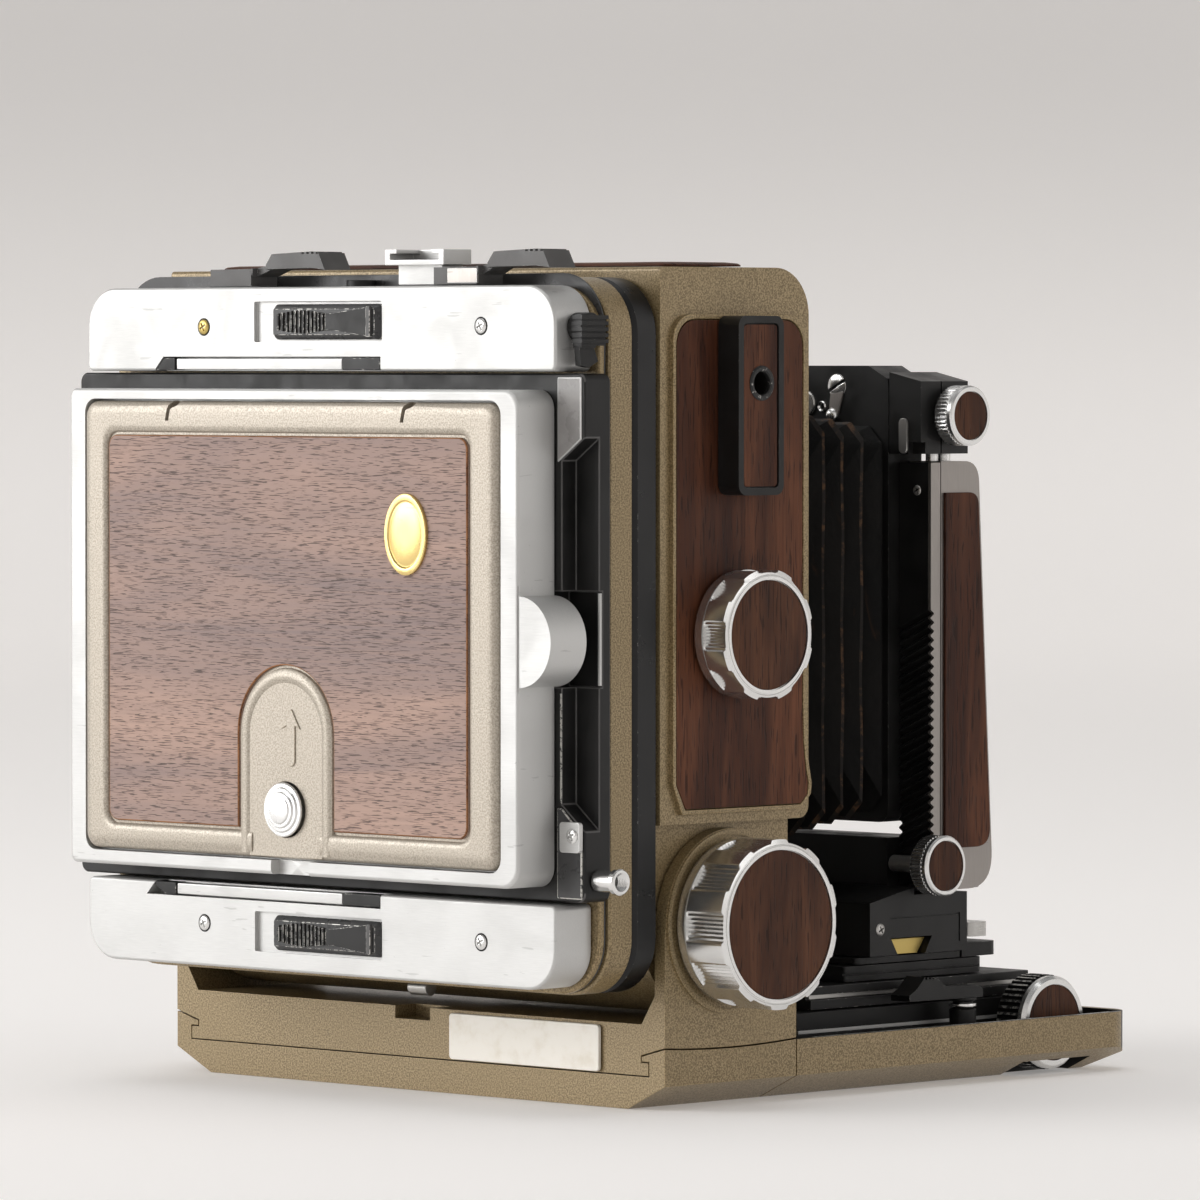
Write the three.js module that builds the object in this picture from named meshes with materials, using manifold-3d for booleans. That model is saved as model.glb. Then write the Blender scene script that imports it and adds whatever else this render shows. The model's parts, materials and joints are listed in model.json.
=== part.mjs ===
// Folding metal view camera: rear standard, revolving back, bed and front standard.
// Units are millimetres. +Z is up, +Y is the subject side, +X is the operator's right.
// The origin is on the underside of the base, on the axis the rear standard swings about.
import * as THREE from 'three';
import { mergeVertices } from 'three/addons/utils/BufferGeometryUtils.js';
import Module from 'manifold-3d';

const wasm = await Module();
wasm.setup();

// ---------------------------------------------------------------- driving dimensions
const GAP = 0.3;                 // running clearance left between neighbouring pieces
const HALF_WIDTH = 81.8;         // half the width of base, bed and camera body
const BASE_HALF_DEPTH = 21.85;   // base and yoke run from -this to +this in Y
const BASE_HEIGHT = 14.4;        // height of the side walls of the base
const EDGE_RISE = 5.7;           // height of the sloping lower edge of base and bed
const BOTTOM_HALF = 70;          // half width of the flat underside
const TURN_RADIUS = 79.9;        // undercut groove the yoke foot turns in
const LIP_RADIUS = 77.6;         // lip that holds the yoke foot down
const FLOOR_Z = 7.6;             // floor of that turning seat
const SOCKET_Y = 13;             // tripod sockets sit this far either side of the origin

const YOKE_TOP = 19.6;           // upper face of the yoke foot
const ARM_THICKNESS = 3.2;
const ARM_RADIUS = 21.5;         // round top of each yoke arm
const TILT_Z = 42.4;             // rear tilt axis, on Y = 0

const BODY_REAR = -23.45;
const BODY_FRONT = 25.95;
const BODY_TOP = 192.3;
const BODY_SEAM = 65.3;          // lower edge of the wide part of the body
const BODY_LOW_HALF = 78.0;      // half width of the part between the yoke arms
const BODY_LOW_RADIUS = 21.7;    // round underside of that part
const BODY_LOW_STEP = 73.9;      // outside this half width the underside steps up to clear the yoke
const BODY_END_RADIUS = 15.8;
const BODY_CORNER = 11;

const BACK_Z = 108.4;            // axis of the revolving back
const RING_HALF = 81.5;
const RING_CORNER = 13;
const RING_FRONT = -23.75;       // fixed black ring
const RING_MIDDLE = -31.7;       // where the turning ring meets the fixed one
const RING_REAR = -39.45;
const PLATE_REAR = -41.85;
const BAR_REAR = -53.65;         // silver bars above and below the holder
const HOLDER_REAR = -50.45;
const FRAME_REAR = -62.35;
const HOLDER_HALF_HEIGHT = 59.55;
const FRAME_HALF_WIDTH = 75.1;
const COVER_HALF_WIDTH = 69.2;
const COVER_BOTTOM = 56.0;
const COVER_TOP = 161.5;

const BED_REAR = 22.15;
const BED_FRONT = 142.5;
const WALL_TOP = 14.1;
const FLOOR_TOP = 3;             // inner floor of the bed
const FOCUS_Y = 118.2;           // focusing shaft
const FOCUS_Z = 12.2;
const FOCUS_RADIUS = 11.4;
const TRACK_BOTTOM = 18.2;
const TRACK_TOP = 23.7;
const TRACK_HALF = 62;

const CARRIAGE_TOP = 27.6;
const CROSS_BOTTOM = 29.7;
const CROSS_TOP = 43.8;
const DOVETAIL_Y = 83.1;         // centre of the cross dovetail, also the front swing axis
const UPRIGHT_IN = 51.8;         // uprights run from this to UPRIGHT_OUT in X
const UPRIGHT_OUT = 62;
const RACK_REAR = 89.8;
const RACK_FRONT = 93.1;
const RISER_FRONT = 108.4;
const RISER_TOP = 146.9;
const LENS_HALF = 51.5;
const LENS_REAR = 86.2;
const LENS_TOP = 169.7;
const LENS_BOTTOM = 60.5;
const FRONT_TILT_Y = 96;
const FRONT_TILT_Z = 157.8;
const LENS_HOLE_RADIUS = 17.3;

// ---------------------------------------------------------------- materials
function paint(color, roughness, metalness) {
  return new THREE.MeshStandardMaterial({ color, roughness, metalness });
}

const GOLD = paint(0xb0a283, 0.55, 0.35);
const BLACK = paint(0x1d1c1b, 0.5, 0.3);
const GREY = paint(0x8d8b86, 0.45, 0.5);
const SILVER = paint(0xcfcfcb, 0.3, 0.9);
const STEEL = paint(0x9a9a98, 0.35, 0.9);
const BRASS = paint(0xa8924a, 0.4, 0.8);
const ROSEWOOD = paint(0x4a2f27, 0.6, 0.0);
const PALE_WOOD = paint(0x8b6a60, 0.6, 0.0);
const CREAM = paint(0xe2dcc2, 0.5, 0.1);
const GLASS = paint(0xdfe6e2, 0.35, 0.0);
const CLOTH = paint(0x17161a, 0.85, 0.0);

// ---------------------------------------------------------------- shape helpers
const AXIS_MATRIX = {
  x: new THREE.Matrix4().set(0, 0, 1, 0, 1, 0, 0, 0, 0, 1, 0, 0, 0, 0, 0, 1),
  y: new THREE.Matrix4().set(1, 0, 0, 0, 0, 0, -1, 0, 0, 1, 0, 0, 0, 0, 0, 1),
  z: new THREE.Matrix4(),
};

// Turn a flat outline into a solid along one axis.
// Outlines are (Y,Z) for axis x, (X,Z) for axis y and (X,Y) for axis z.
function prism(shape, axis, low, high, segments = 8) {
  const options = { depth: high - low, bevelEnabled: false, curveSegments: segments };
  const geometry = new THREE.ExtrudeGeometry(shape, options);
  geometry.applyMatrix4(AXIS_MATRIX[axis]);
  const shift = axis === 'y' ? high : low;
  geometry.translate(axis === 'x' ? shift : 0, axis === 'y' ? shift : 0, axis === 'z' ? shift : 0);
  return geometry;
}

function polygon(points) {
  const shape = new THREE.Shape();
  points.forEach(([u, v], i) => (i ? shape.lineTo(u, v) : shape.moveTo(u, v)));
  shape.closePath();
  return shape;
}

// Rectangle from (u0,v0) to (u1,v1) with its own radius at each corner:
// radii are for the corners low-low, high-low, high-high and low-high.
function roundedRect(u0, v0, u1, v1, radius) {
  const r = Array.isArray(radius) ? radius : [radius, radius, radius, radius];
  const shape = new THREE.Shape();
  shape.moveTo(u0 + r[0], v0);
  shape.lineTo(u1 - r[1], v0);
  if (r[1]) shape.absarc(u1 - r[1], v0 + r[1], r[1], -Math.PI / 2, 0, false);
  shape.lineTo(u1, v1 - r[2]);
  if (r[2]) shape.absarc(u1 - r[2], v1 - r[2], r[2], 0, Math.PI / 2, false);
  shape.lineTo(u0 + r[3], v1);
  if (r[3]) shape.absarc(u0 + r[3], v1 - r[3], r[3], Math.PI / 2, Math.PI, false);
  shape.lineTo(u0, v0 + r[0]);
  if (r[0]) shape.absarc(u0 + r[0], v0 + r[0], r[0], Math.PI, Math.PI * 1.5, false);
  return shape;
}

function box(x0, x1, y0, y1, z0, z1) {
  const geometry = new THREE.BoxGeometry(x1 - x0, y1 - y0, z1 - z0);
  geometry.translate((x0 + x1) / 2, (y0 + y1) / 2, (z0 + z1) / 2);
  return geometry;
}

// Solid of revolution about a line parallel to one axis.
// The profile is a list of (radius, distance along the axis).
function turned(profile, axis, centre = [0, 0, 0], segments = 28) {
  const points = profile.map(([r, d]) => new THREE.Vector2(r, d));
  const geometry = new THREE.LatheGeometry(points, segments);
  if (axis === 'x') geometry.rotateZ(-Math.PI / 2);
  if (axis === 'z') geometry.rotateX(Math.PI / 2);
  geometry.translate(centre[0], centre[1], centre[2]);
  return geometry;
}

function rod(axis, low, high, centre, radius, segments = 22) {
  const profile = [[0, low], [radius, low], [radius, high], [0, high]];
  return turned(profile, axis, centre, segments);
}

function tube(axis, low, high, centre, outer, inner, segments = 24) {
  const profile = [[inner, low], [outer, low], [outer, high], [inner, high], [inner, low]];
  return turned(profile, axis, centre, segments);
}

// Outline of a knob with evenly spaced finger hollows.
function scalloped(cy, cz, radius, hollow, count) {
  const points = [];
  const steps = count * 6;
  for (let i = 0; i < steps; i += 1) {
    const angle = (i / steps) * Math.PI * 2;
    const dip = Math.max(0, Math.cos(count * angle)) ** 1.5;
    const r = radius - hollow * dip;
    points.push([cy + r * Math.cos(angle), cz + r * Math.sin(angle)]);
  }
  return polygon(points);
}

// ---------------------------------------------------------------- joining and cutting
function toManifold(geometry) {
  const plain = geometry.clone();
  plain.deleteAttribute('normal');
  plain.deleteAttribute('uv');
  const merged = mergeVertices(plain, 1e-4);
  const mesh = new wasm.Mesh({
    numProp: 3,
    vertProperties: new Float32Array(merged.attributes.position.array),
    triVerts: new Uint32Array(merged.index.array),
  });
  mesh.merge();
  return new wasm.Manifold(mesh);
}

function fromManifold(solid) {
  const mesh = solid.getMesh();
  const geometry = new THREE.BufferGeometry();
  geometry.setAttribute('position', new THREE.BufferAttribute(new Float32Array(mesh.vertProperties), 3));
  geometry.setIndex(new THREE.BufferAttribute(new Uint32Array(mesh.triVerts), 1));
  return geometry;
}

function combine(bases, cuts = []) {
  let solid = toManifold(bases[0]);
  for (const more of bases.slice(1)) solid = solid.add(toManifold(more));
  for (const cut of cuts) solid = solid.subtract(toManifold(cut));
  return fromManifold(solid);
}

function common(first, second) {
  return fromManifold(toManifold(first).intersect(toManifold(second)));
}

// ---------------------------------------------------------------- the assembly
const camera = new THREE.Group();
camera.name = 'view_camera';

function piece(name, geometry, material) {
  geometry.computeVertexNormals();
  const mesh = new THREE.Mesh(geometry, material);
  mesh.name = name;
  camera.add(mesh);
}

const SIDES = [['right', 1], ['left', -1]];

// Box given for the right side, mirrored in X when side is -1.
function sideBox(side, x0, x1, y0, y1, z0, z1) {
  return side > 0 ? box(x0, x1, y0, y1, z0, z1) : box(-x1, -x0, y0, y1, z0, z1);
}

function sidePrism(shape, side, x0, x1, segments = 8) {
  return side > 0 ? prism(shape, 'x', x0, x1, segments) : prism(shape, 'x', -x1, -x0, segments);
}

function sideRod(side, x0, x1, y, z, radius, segments = 22) {
  const low = side > 0 ? x0 : -x1;
  const high = side > 0 ? x1 : -x0;
  return rod('x', low, high, [0, y, z], radius, segments);
}

const EDGE_OUTLINE = [
  [-HALF_WIDTH, EDGE_RISE], [-BOTTOM_HALF, 0], [BOTTOM_HALF, 0], [HALF_WIDTH, EDGE_RISE],
];

// ---- base with the turning seat and the tripod sockets
function baseBlock() {
  const outline = [...EDGE_OUTLINE, [HALF_WIDTH, BASE_HEIGHT], [-HALF_WIDTH, BASE_HEIGHT]];
  const block = prism(polygon(outline), 'y', -BASE_HALF_DEPTH, BASE_HALF_DEPTH);
  const seat = turned([
    [0, FLOOR_Z], [TURN_RADIUS, FLOOR_Z], [TURN_RADIUS, 11.1], [LIP_RADIUS, 11.1],
    [LIP_RADIUS, 12.2], [90, 15.7], [90, 20], [0, 20],
  ], 'z', [0, 0, 0], 80);
  const rearHole = rod('z', -1, 6.5, [0, -SOCKET_Y, 0], 7.3);
  const frontHole = rod('z', -1, 6.5, [0, SOCKET_Y, 0], 5.8);
  return combine([block], [seat, rearHole, frontHole]);
}

piece('base_block', baseBlock(), GOLD);
piece('tripod_socket_large', tube('z', 0, 6.1, [0, -SOCKET_Y, 0], 7, 4.76), STEEL);
piece('tripod_socket_small', tube('z', 0, 6.1, [0, SOCKET_Y, 0], 5.5, 3.18), STEEL);

// ---- yoke: turning foot and two round-topped arms
function armOutline() {
  const d = BASE_HALF_DEPTH;
  const shape = new THREE.Shape();
  shape.moveTo(-d, YOKE_TOP - 2);
  shape.lineTo(d, YOKE_TOP - 2);
  shape.lineTo(d, TILT_Z - 3);
  shape.lineTo(ARM_RADIUS, TILT_Z);
  shape.absarc(0, TILT_Z, ARM_RADIUS, 0, Math.PI, false);
  shape.lineTo(-d, TILT_Z - 3);
  shape.closePath();
  return shape;
}

function yoke() {
  const foot = turned([
    [0, FLOOR_Z + GAP], [TURN_RADIUS - GAP, FLOOR_Z + GAP], [TURN_RADIUS - GAP, 10.8],
    [LIP_RADIUS - GAP, 10.8], [LIP_RADIUS - GAP, 12.5], [90, 16.05], [90, YOKE_TOP], [0, YOKE_TOP],
  ], 'z', [0, 0, 0], 80);
  const d = BASE_HALF_DEPTH;
  const clipped = common(foot, box(-HALF_WIDTH, HALF_WIDTH, -d, d, 0, 40));
  const parts = [clipped];
  const cuts = [box(-6.3, 5.4, -d - 1, -15, 16.6, 30)];
  const inner = HALF_WIDTH - ARM_THICKNESS;
  for (const [, side] of SIDES) {
    parts.push(sidePrism(armOutline(), side, inner, HALF_WIDTH, 20));
    const wedge = [[74.4, YOKE_TOP - 1], [inner + 0.5, YOKE_TOP - 1], [inner + 0.5, 26.2], [inner, 26.2],
      [74.4, YOKE_TOP]];
    const mirrored = side > 0 ? wedge : wedge.map(([x, z]) => [-x, z]).reverse();
    parts.push(prism(polygon(mirrored), 'y', -d, d));
    cuts.push(sideRod(side, 70, 90, 0, TILT_Z, 3.4));
  }
  return combine(parts, cuts);
}

piece('yoke', yoke(), GOLD);
const platePoints = roundedRect(12.7, 8.1, 61.7, 18.9, 1);
piece('name_plate', prism(platePoints, 'y', -22.95, -22.15, 3), CREAM);

// ---- camera body, open from front to rear
// Part of the body between the yoke arms: its underside is round about the tilt axis.
function bodyLowOutline(radius) {
  const low = new THREE.Shape();
  low.moveTo(BODY_REAR, BODY_SEAM + 5);
  low.lineTo(BODY_REAR, TILT_Z + 6);
  low.lineTo(-BODY_LOW_RADIUS, TILT_Z);
  low.lineTo(-radius, TILT_Z);
  low.absarc(0, TILT_Z, radius, Math.PI, Math.PI * 2, false);
  low.lineTo(BODY_LOW_RADIUS, TILT_Z);
  low.lineTo(BODY_FRONT - 3, TILT_Z + 6);
  low.lineTo(BODY_FRONT - 3, BODY_SEAM + 5);
  low.closePath();
  return low;
}

function cameraBody() {
  const wide = roundedRect(BODY_REAR, BODY_SEAM, BODY_FRONT, BODY_TOP, [0, 3, BODY_CORNER, 1]);
  const upper = prism(wide, 'x', -HALF_WIDTH, HALF_WIDTH, 10);
  const middle = prism(bodyLowOutline(BODY_LOW_RADIUS), 'x', -BODY_LOW_STEP, BODY_LOW_STEP, 24);
  const ends = prism(bodyLowOutline(BODY_END_RADIUS), 'x', -BODY_LOW_HALF, BODY_LOW_HALF, 24);
  const cuts = [
    box(-72, 72, -19.5, 30, 33, 184),
    box(-62, 62, -30, -10, 46, 170),
    box(-4, 4, -30, -15.5, 15, 28),
  ];
  for (const [, side] of SIDES) cuts.push(sideRod(side, 60, 90, 0, TILT_Z, 3.4));
  cuts.push(sideRod(1, 70, 90, 0, BACK_Z, 3.4));
  return combine([upper, middle, ends], cuts);
}

piece('camera_body', cameraBody(), GOLD);

for (const [label, side] of SIDES) {
  const outline = roundedRect(-19.5, 68.4, 23, 180.6, [6, 3, 6, 6]);
  const hole = new THREE.Path();
  hole.absarc(0, BACK_Z, 4, 0, Math.PI * 2, true);
  if (side > 0) outline.holes.push(hole);
  piece('side_panel_' + label, sidePrism(outline, side, 82.1, 83.2, 6), ROSEWOOD);
}

piece('top_panel', prism(roundedRect(-75, -14, 75, 12, 3), 'z', 192.6, 193.6, 4), ROSEWOOD);

function strapLug(side) {
  const outline = roundedRect(-5.9, 140.2, 9.1, 181.2, 2.5);
  const hole = new THREE.Path();
  hole.absarc(1.9, 165.8, 3.9, 0, Math.PI * 2, true);
  outline.holes.push(hole);
  return sidePrism(outline, side, 83.5, 89.8, 5);
}

for (const [label, side] of SIDES) piece('strap_lug_' + label, strapLug(side), BLACK);

// Rounded square ring centred on the axis of the revolving back.
function framed(outline, windowX, windowLow, windowHigh, y0, y1) {
  const window = roundedRect(-windowX, windowLow, windowX, windowHigh, 4);
  outline.holes.push(new THREE.Path(window.getPoints(3).reverse()));
  return prism(outline, 'y', y0, y1, 6);
}

function squareRing(y0, y1) {
  const outline = roundedRect(-RING_HALF, BACK_Z - RING_HALF, RING_HALF, BACK_Z + RING_HALF, RING_CORNER);
  return framed(outline, 63, 45, 171, y0, y1);
}

const plateOutline = roundedRect(-80.6, 27.2, 80.6, 190.8, RING_CORNER);
piece('fixed_ring', squareRing(RING_MIDDLE + 0.15, RING_FRONT), BLACK);
piece('turning_ring', squareRing(RING_REAR, RING_MIDDLE - 0.15), GOLD);
piece('back_plate', framed(plateOutline, 62.5, 50, 166, PLATE_REAR, RING_REAR - 0.4), GREY);

// ---- knobs on the rear standard
function clampKnob(side, z, radius, hollow, count, face, shaftFrom, base) {
  const flange = sideRod(side, base, base + 3, 0, z, radius - 1.2, 32);
  const grip = sidePrism(scalloped(0, z, radius, hollow, count), side, base + 2.5, face);
  const shaft = sideRod(side, shaftFrom, base + 1, 0, z, 3, 20);
  return combine([flange, grip, shaft]);
}

piece('tilt_knob_right', clampKnob(1, TILT_Z, 19.5, 1.3, 10, 97.6, 66, 82.4), SILVER);
piece('tilt_knob_left', clampKnob(-1, TILT_Z, 19.5, 1.3, 10, 97.6, 66, 82.4), SILVER);
piece('back_knob', clampKnob(1, BACK_Z, 15.6, 1.1, 8, 94, 74, 83.6), SILVER);

// ---- bars above and below the holder, with their sliding catches
function holderBar(top) {
  const low = top ? 168.5 : 28.9;
  const high = top ? 188 : 48.3;
  const corners = top ? [3, 3, 9, 9] : [9, 9, 3, 3];
  const outline = roundedRect(-78.3, low, 78.3, high, corners);
  const solid = prism(outline, 'y', BAR_REAR, PLATE_REAR - 0.4, 6);
  const slotLow = top ? 175.2 : 33.2;
  const recess = box(-21, 23, BAR_REAR - 1, BAR_REAR + 1.6, slotLow, slotLow + 9.4);
  const edgeLow = top ? 160 : 45.2;
  const edge = box(-57.8, 21.7, BAR_REAR - 1, BAR_REAR + 4, edgeLow, edgeLow + 11.8);
  return combine([solid], [recess, edge]);
}

piece('top_bar', holderBar(true), SILVER);
piece('bottom_bar', holderBar(false), SILVER);

function barCatch(z) {
  const plate = box(-14, 22, BAR_REAR - 1.2, BAR_REAR + 1.3, z - 4.1, z + 4.1);
  const ribs = [];
  for (let x = -12.5; x < 21; x += 3) {
    ribs.push(box(x, x + 1.5, BAR_REAR - 2, BAR_REAR - 1, z - 3.6, z + 3.6));
  }
  return combine([plate, ...ribs]);
}

piece('upper_catch', barCatch(179.9), BLACK);
piece('lower_catch', barCatch(37.9), BLACK);

// Lever lying along the top edge: round hub, thin arm and a ribbed pad.
function topLever(hubX, padFrom, padTo) {
  const hub = rod('z', 188.3, 192.4, [hubX, -47.5, 0], 5.2, 28);
  const arm = box(hubX - 2, padFrom + 2, -50, -45, 190.6, 193.6);
  const pad = prism(roundedRect(padFrom, -52, padTo, -43.5, 2), 'z', 191.6, 195.6, 4);
  const ribs = [];
  for (let x = padFrom + 2; x < padTo - 2; x += 2.6) {
    ribs.push(box(x, x + 1.2, -51.4, -44.1, 195, 196.2));
  }
  return combine([hub, arm, pad, ...ribs]);
}

piece('top_lever_left', topLever(-31, -19.7, 2.2), BLACK);
piece('top_lever_right', topLever(45.5, 54.4, 75.5), BLACK);

function accessoryShoe() {
  const foot = box(24, 38.4, -50, -43.5, 188.3, 193.2);
  const plate = box(21.5, 40.8, -52, -43, 192.8, 196.4);
  const slot = box(23.2, 39.1, -55, -44.4, 194, 195.4);
  const opening = box(25.4, 36.9, -55, -44.4, 194.5, 198);
  return combine([foot, plate], [slot, opening]);
}

piece('accessory_shoe', accessoryShoe(), SILVER);

function cornerLever() {
  const hub = rod('x', 78.7, 83, [0, -47, 178.5], 3.4, 24);
  const body = prism(roundedRect(-50.5, 169.4, -43.4, 180.8, 2), 'x', 79.6, 83.6, 4);
  return combine([hub, body]);
}

piece('corner_lever', cornerLever(), BLACK);

// ---- spring back: holder plate, screen frame and glass
function holderPlate() {
  const low = BACK_Z - HOLDER_HALF_HEIGHT + 0.1;
  const high = BACK_Z + HOLDER_HALF_HEIGHT + 0.1;
  const outline = roundedRect(-84.5, low, 84.5, high, 2);
  const solid = prism(outline, 'y', HOLDER_REAR, PLATE_REAR - 0.4, 3);
  const window = box(-62, 62, -70, -30, 58, 159);
  const sideDent = box(81.5, 90, -70, -44.5, 66, 153);
  const thumb = rod('y', -60, -44.5, [80, 0, BACK_Z], 10.5, 24);
  return combine([solid], [window, sideDent, thumb]);
}

piece('holder_plate', holderPlate(), BLACK);

function screenFrame() {
  const outline = roundedRect(-FRAME_HALF_WIDTH, 52.2, FRAME_HALF_WIDTH, 164.4, 2);
  const solid = prism(outline, 'y', FRAME_REAR, HOLDER_REAR - GAP, 3);
  const grip = rod('y', -57, HOLDER_REAR - GAP, [75, 0, BACK_Z - 0.6], 10.4, 28);
  const recess = box(-69.6, 69.6, -70, -58.6, 55.6, 161.9);
  const window = box(-60, 60, -70, -40, 60, 157);
  const finger = rod('y', -70, -60, [0.6, 0, 53.4], 6.2, 28);
  return combine([solid, grip], [recess, window, finger]);
}

piece('screen_frame', screenFrame(), SILVER);
piece('ground_glass', box(-59.6, 59.6, -56.4, -54.4, 60.4, 156.6), GLASS);
piece('corner_bracket', prism(roundedRect(77.9, 60.3, 84.2, 67.2, 1), 'y', -52, -50.75, 3), STEEL);
piece('side_stub', rod('x', 84.8, 92, [0, -46.4, 53.9], 3, 24), STEEL);

// ---- folding cover over the screen
function coverOutline() {
  return roundedRect(-COVER_HALF_WIDTH, COVER_BOTTOM, COVER_HALF_WIDTH, COVER_TOP, 4);
}

function hoodCover() {
  const solid = prism(coverOutline(), 'y', -63.4, -59, 5);
  const inner = roundedRect(-60.9, 61, 59.9, 153.7, 3);
  const recess = prism(inner, 'y', -70, -62.3, 4);
  const buttonHole = rod('y', -70, -50, [0, 0, 67.4], 6, 28);
  return combine([solid], [recess, buttonHole]);
}

piece('hood_cover', hoodCover(), GOLD);

function archShape(halfWidth, low, top) {
  const shape = new THREE.Shape();
  const shoulder = top - halfWidth;
  shape.moveTo(-halfWidth, low);
  shape.lineTo(halfWidth, low);
  shape.lineTo(halfWidth, shoulder);
  shape.absarc(0, shoulder, halfWidth, 0, Math.PI, false);
  shape.closePath();
  return shape;
}

function coverPanel() {
  const panel = prism(roundedRect(-60.5, 61.4, 59.5, 153.3, 3), 'y', -63.5, -62.6, 4);
  const arch = prism(archShape(15.6, 50, 100.2), 'y', -70, -50, 12);
  const badgeSeat = ovalPrism(40.2, 131.5, 7.2, 9.7, -70, -50);
  return combine([panel], [arch, badgeSeat]);
}

function ovalPrism(x, z, rx, rz, y0, y1) {
  const shape = new THREE.Shape();
  shape.absellipse(x, z, rx, rz, 0, Math.PI * 2, false, 0);
  return prism(shape, 'y', y0, y1, 16);
}

piece('cover_panel', coverPanel(), PALE_WOOD);
piece('badge', ovalPrism(40.2, 131.5, 6.8, 9.3, -63.9, -62.6), BRASS);

function archPlate() {
  const plate = prism(archShape(15.2, 61.4, 99.8), 'y', -63.8, -62.6, 12);
  return combine([plate], [rod('y', -70, -50, [0, 0, 67.4], 6, 28)]);
}

piece('arch_plate', archPlate(), GOLD);

function hoodButton() {
  const profile = [[0, -65.6], [3.6, -65.6], [4.2, -65], [4.2, -64.4], [5.7, -64.4], [5.7, -60.2], [0, -60.2]];
  return turned(profile, 'y', [0, 0, 67.4], 24);
}

piece('hood_button', hoodButton(), SILVER);

// ---- bed: shallow tray with two fixed rails
function bed() {
  const outline = [...EDGE_OUTLINE, [HALF_WIDTH, WALL_TOP], [-HALF_WIDTH, WALL_TOP]];
  const bar = prism(polygon(outline), 'y', BED_REAR, BED_FRONT);
  const plan = prism(roundedRect(-HALF_WIDTH, BED_REAR, HALF_WIDTH, BED_FRONT, [0, 0, 9, 9]), 'z', -5, 30, 8);
  const shell = common(bar, plan);
  const wall = 2.4;
  const inside = HALF_WIDTH - wall;
  const hollowPlan = roundedRect(-inside, BED_REAR + wall, inside, BED_FRONT - wall, [2, 2, 6.6, 6.6]);
  const flat = BOTTOM_HALF - 1;
  const hollowSection = polygon([[-inside, 8], [-flat, FLOOR_TOP], [flat, FLOOR_TOP], [inside, 8], [inside, 30],
    [-inside, 30]]);
  const hollow = common(prism(hollowPlan, 'z', 0, 30, 8), prism(hollowSection, 'y', BED_REAR, BED_FRONT - wall));
  const swingRoom = prism(hollowSection, 'y', BED_REAR - 1, BED_REAR + 5);
  const footRoom = turned([
    [0, 12.2], [LIP_RADIUS - GAP, 12.2], [90, 15.75], [90, 40], [0, 40],
  ], 'z', [0, 0, 0], 80);
  const cuts = [hollow, footRoom, common(swingRoom, box(-inside + 1, inside - 1, 0, 40, FLOOR_Z - 0.4, 40))];
  for (const [, side] of SIDES) {
    cuts.push(sideBox(side, 66.6, 77.2, FOCUS_Y - 12.2, FOCUS_Y + 12.2, -5, 20));
  }
  const frontSlope = polygon([[BED_FRONT - 8.5, -1], [BED_FRONT + 1, EDGE_RISE + 0.7], [BED_FRONT + 1, -1]]);
  cuts.push(prism(frontSlope, 'x', -90, 90));
  const tray = fromManifold(cuts.reduce((solid, cut) => solid.subtract(toManifold(cut)), toManifold(shell)));
  const rails = SIDES.map(([, side]) => sideBox(side, 50, 64, 41, 136, 2, 17.9));
  const shaftHole = rod('x', -70, 70, [0, FOCUS_Y, FOCUS_Z], 3.2, 24);
  return combine([tray, ...rails], [shaftHole]);
}

piece('bed', bed(), GOLD);

function lockLever() {
  const post = rod('z', 8.3, 19.6, [70.4, 92, 0], 3.2, 24);
  const arm = prism(roundedRect(67.2, 70, 73.4, 96, 3), 'z', 19.2, 22.4, 5);
  const tip = box(67.6, 73, 70.4, 78, 22, 25.2);
  return combine([post, arm, tip]);
}

piece('track_lock', lockLever(), BLACK);

// ---- focusing drive
function focusKnob(side) {
  const teeth = [];
  const count = 40;
  for (let i = 0; i < count; i += 1) {
    for (const [offset, r] of [[0, FOCUS_RADIUS], [0.5, 10.8]]) {
      const angle = ((i + offset) / count) * Math.PI * 2;
      teeth.push([FOCUS_Y + r * Math.cos(angle), FOCUS_Z + r * Math.sin(angle)]);
    }
  }
  const grip = sidePrism(polygon(teeth), side, 67.2, 74.4);
  const rim = sideRod(side, 74, 76.4, FOCUS_Y, FOCUS_Z, 10.8, 32);
  return combine([grip, rim]);
}

for (const [label, side] of SIDES) piece('focus_knob_' + label, focusKnob(side), BLACK);

function focusShaft() {
  const rodPart = rod('x', -66.9, 66.9, [0, FOCUS_Y, FOCUS_Z], 2.5, 24);
  const pinions = SIDES.map(([, side]) => sideRod(side, 40.5, 47.5, FOCUS_Y, FOCUS_Z, 4, 24));
  return combine([rodPart, ...pinions]);
}

piece('focus_shaft', focusShaft(), STEEL);

// ---- moving track
function track() {
  const plate = box(-TRACK_HALF, TRACK_HALF, 48, 125, TRACK_BOTTOM, TRACK_TOP);
  const window = box(-36, 36, 56, 117, 10, 30);
  const groove = SIDES.map(([, side]) => sideBox(side, TRACK_HALF - 2, TRACK_HALF + 2, 40, 130, 20.4, 21.8));
  const racks = SIDES.map(([, side]) => sideBox(side, 41, 47, 50, 125, 16.6, 19));
  return combine([plate, ...racks], [window, ...groove]);
}

piece('track', track(), BLACK);

// ---- carriage, swing plate and cross slide
function carriagePlate() {
  const plate = box(-60, 60, 62, 111.5, TRACK_TOP + GAP, CARRIAGE_TOP);
  return combine([plate], [rod('z', 0, 60, [0, DOVETAIL_Y, 0], 5.4, 28)]);
}

piece('carriage_plate', carriagePlate(), BLACK);

function swingLock() {
  const post = rod('z', 31.5, 33, [52, 109.2, 0], 2.4, 20);
  const grip = prism(roundedRect(47.5, 105.2, 60.5, 113.2, 3), 'z', 32.6, 36, 5);
  return combine([post, grip]);
}

piece('swing_lock', swingLock(), STEEL);

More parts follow.
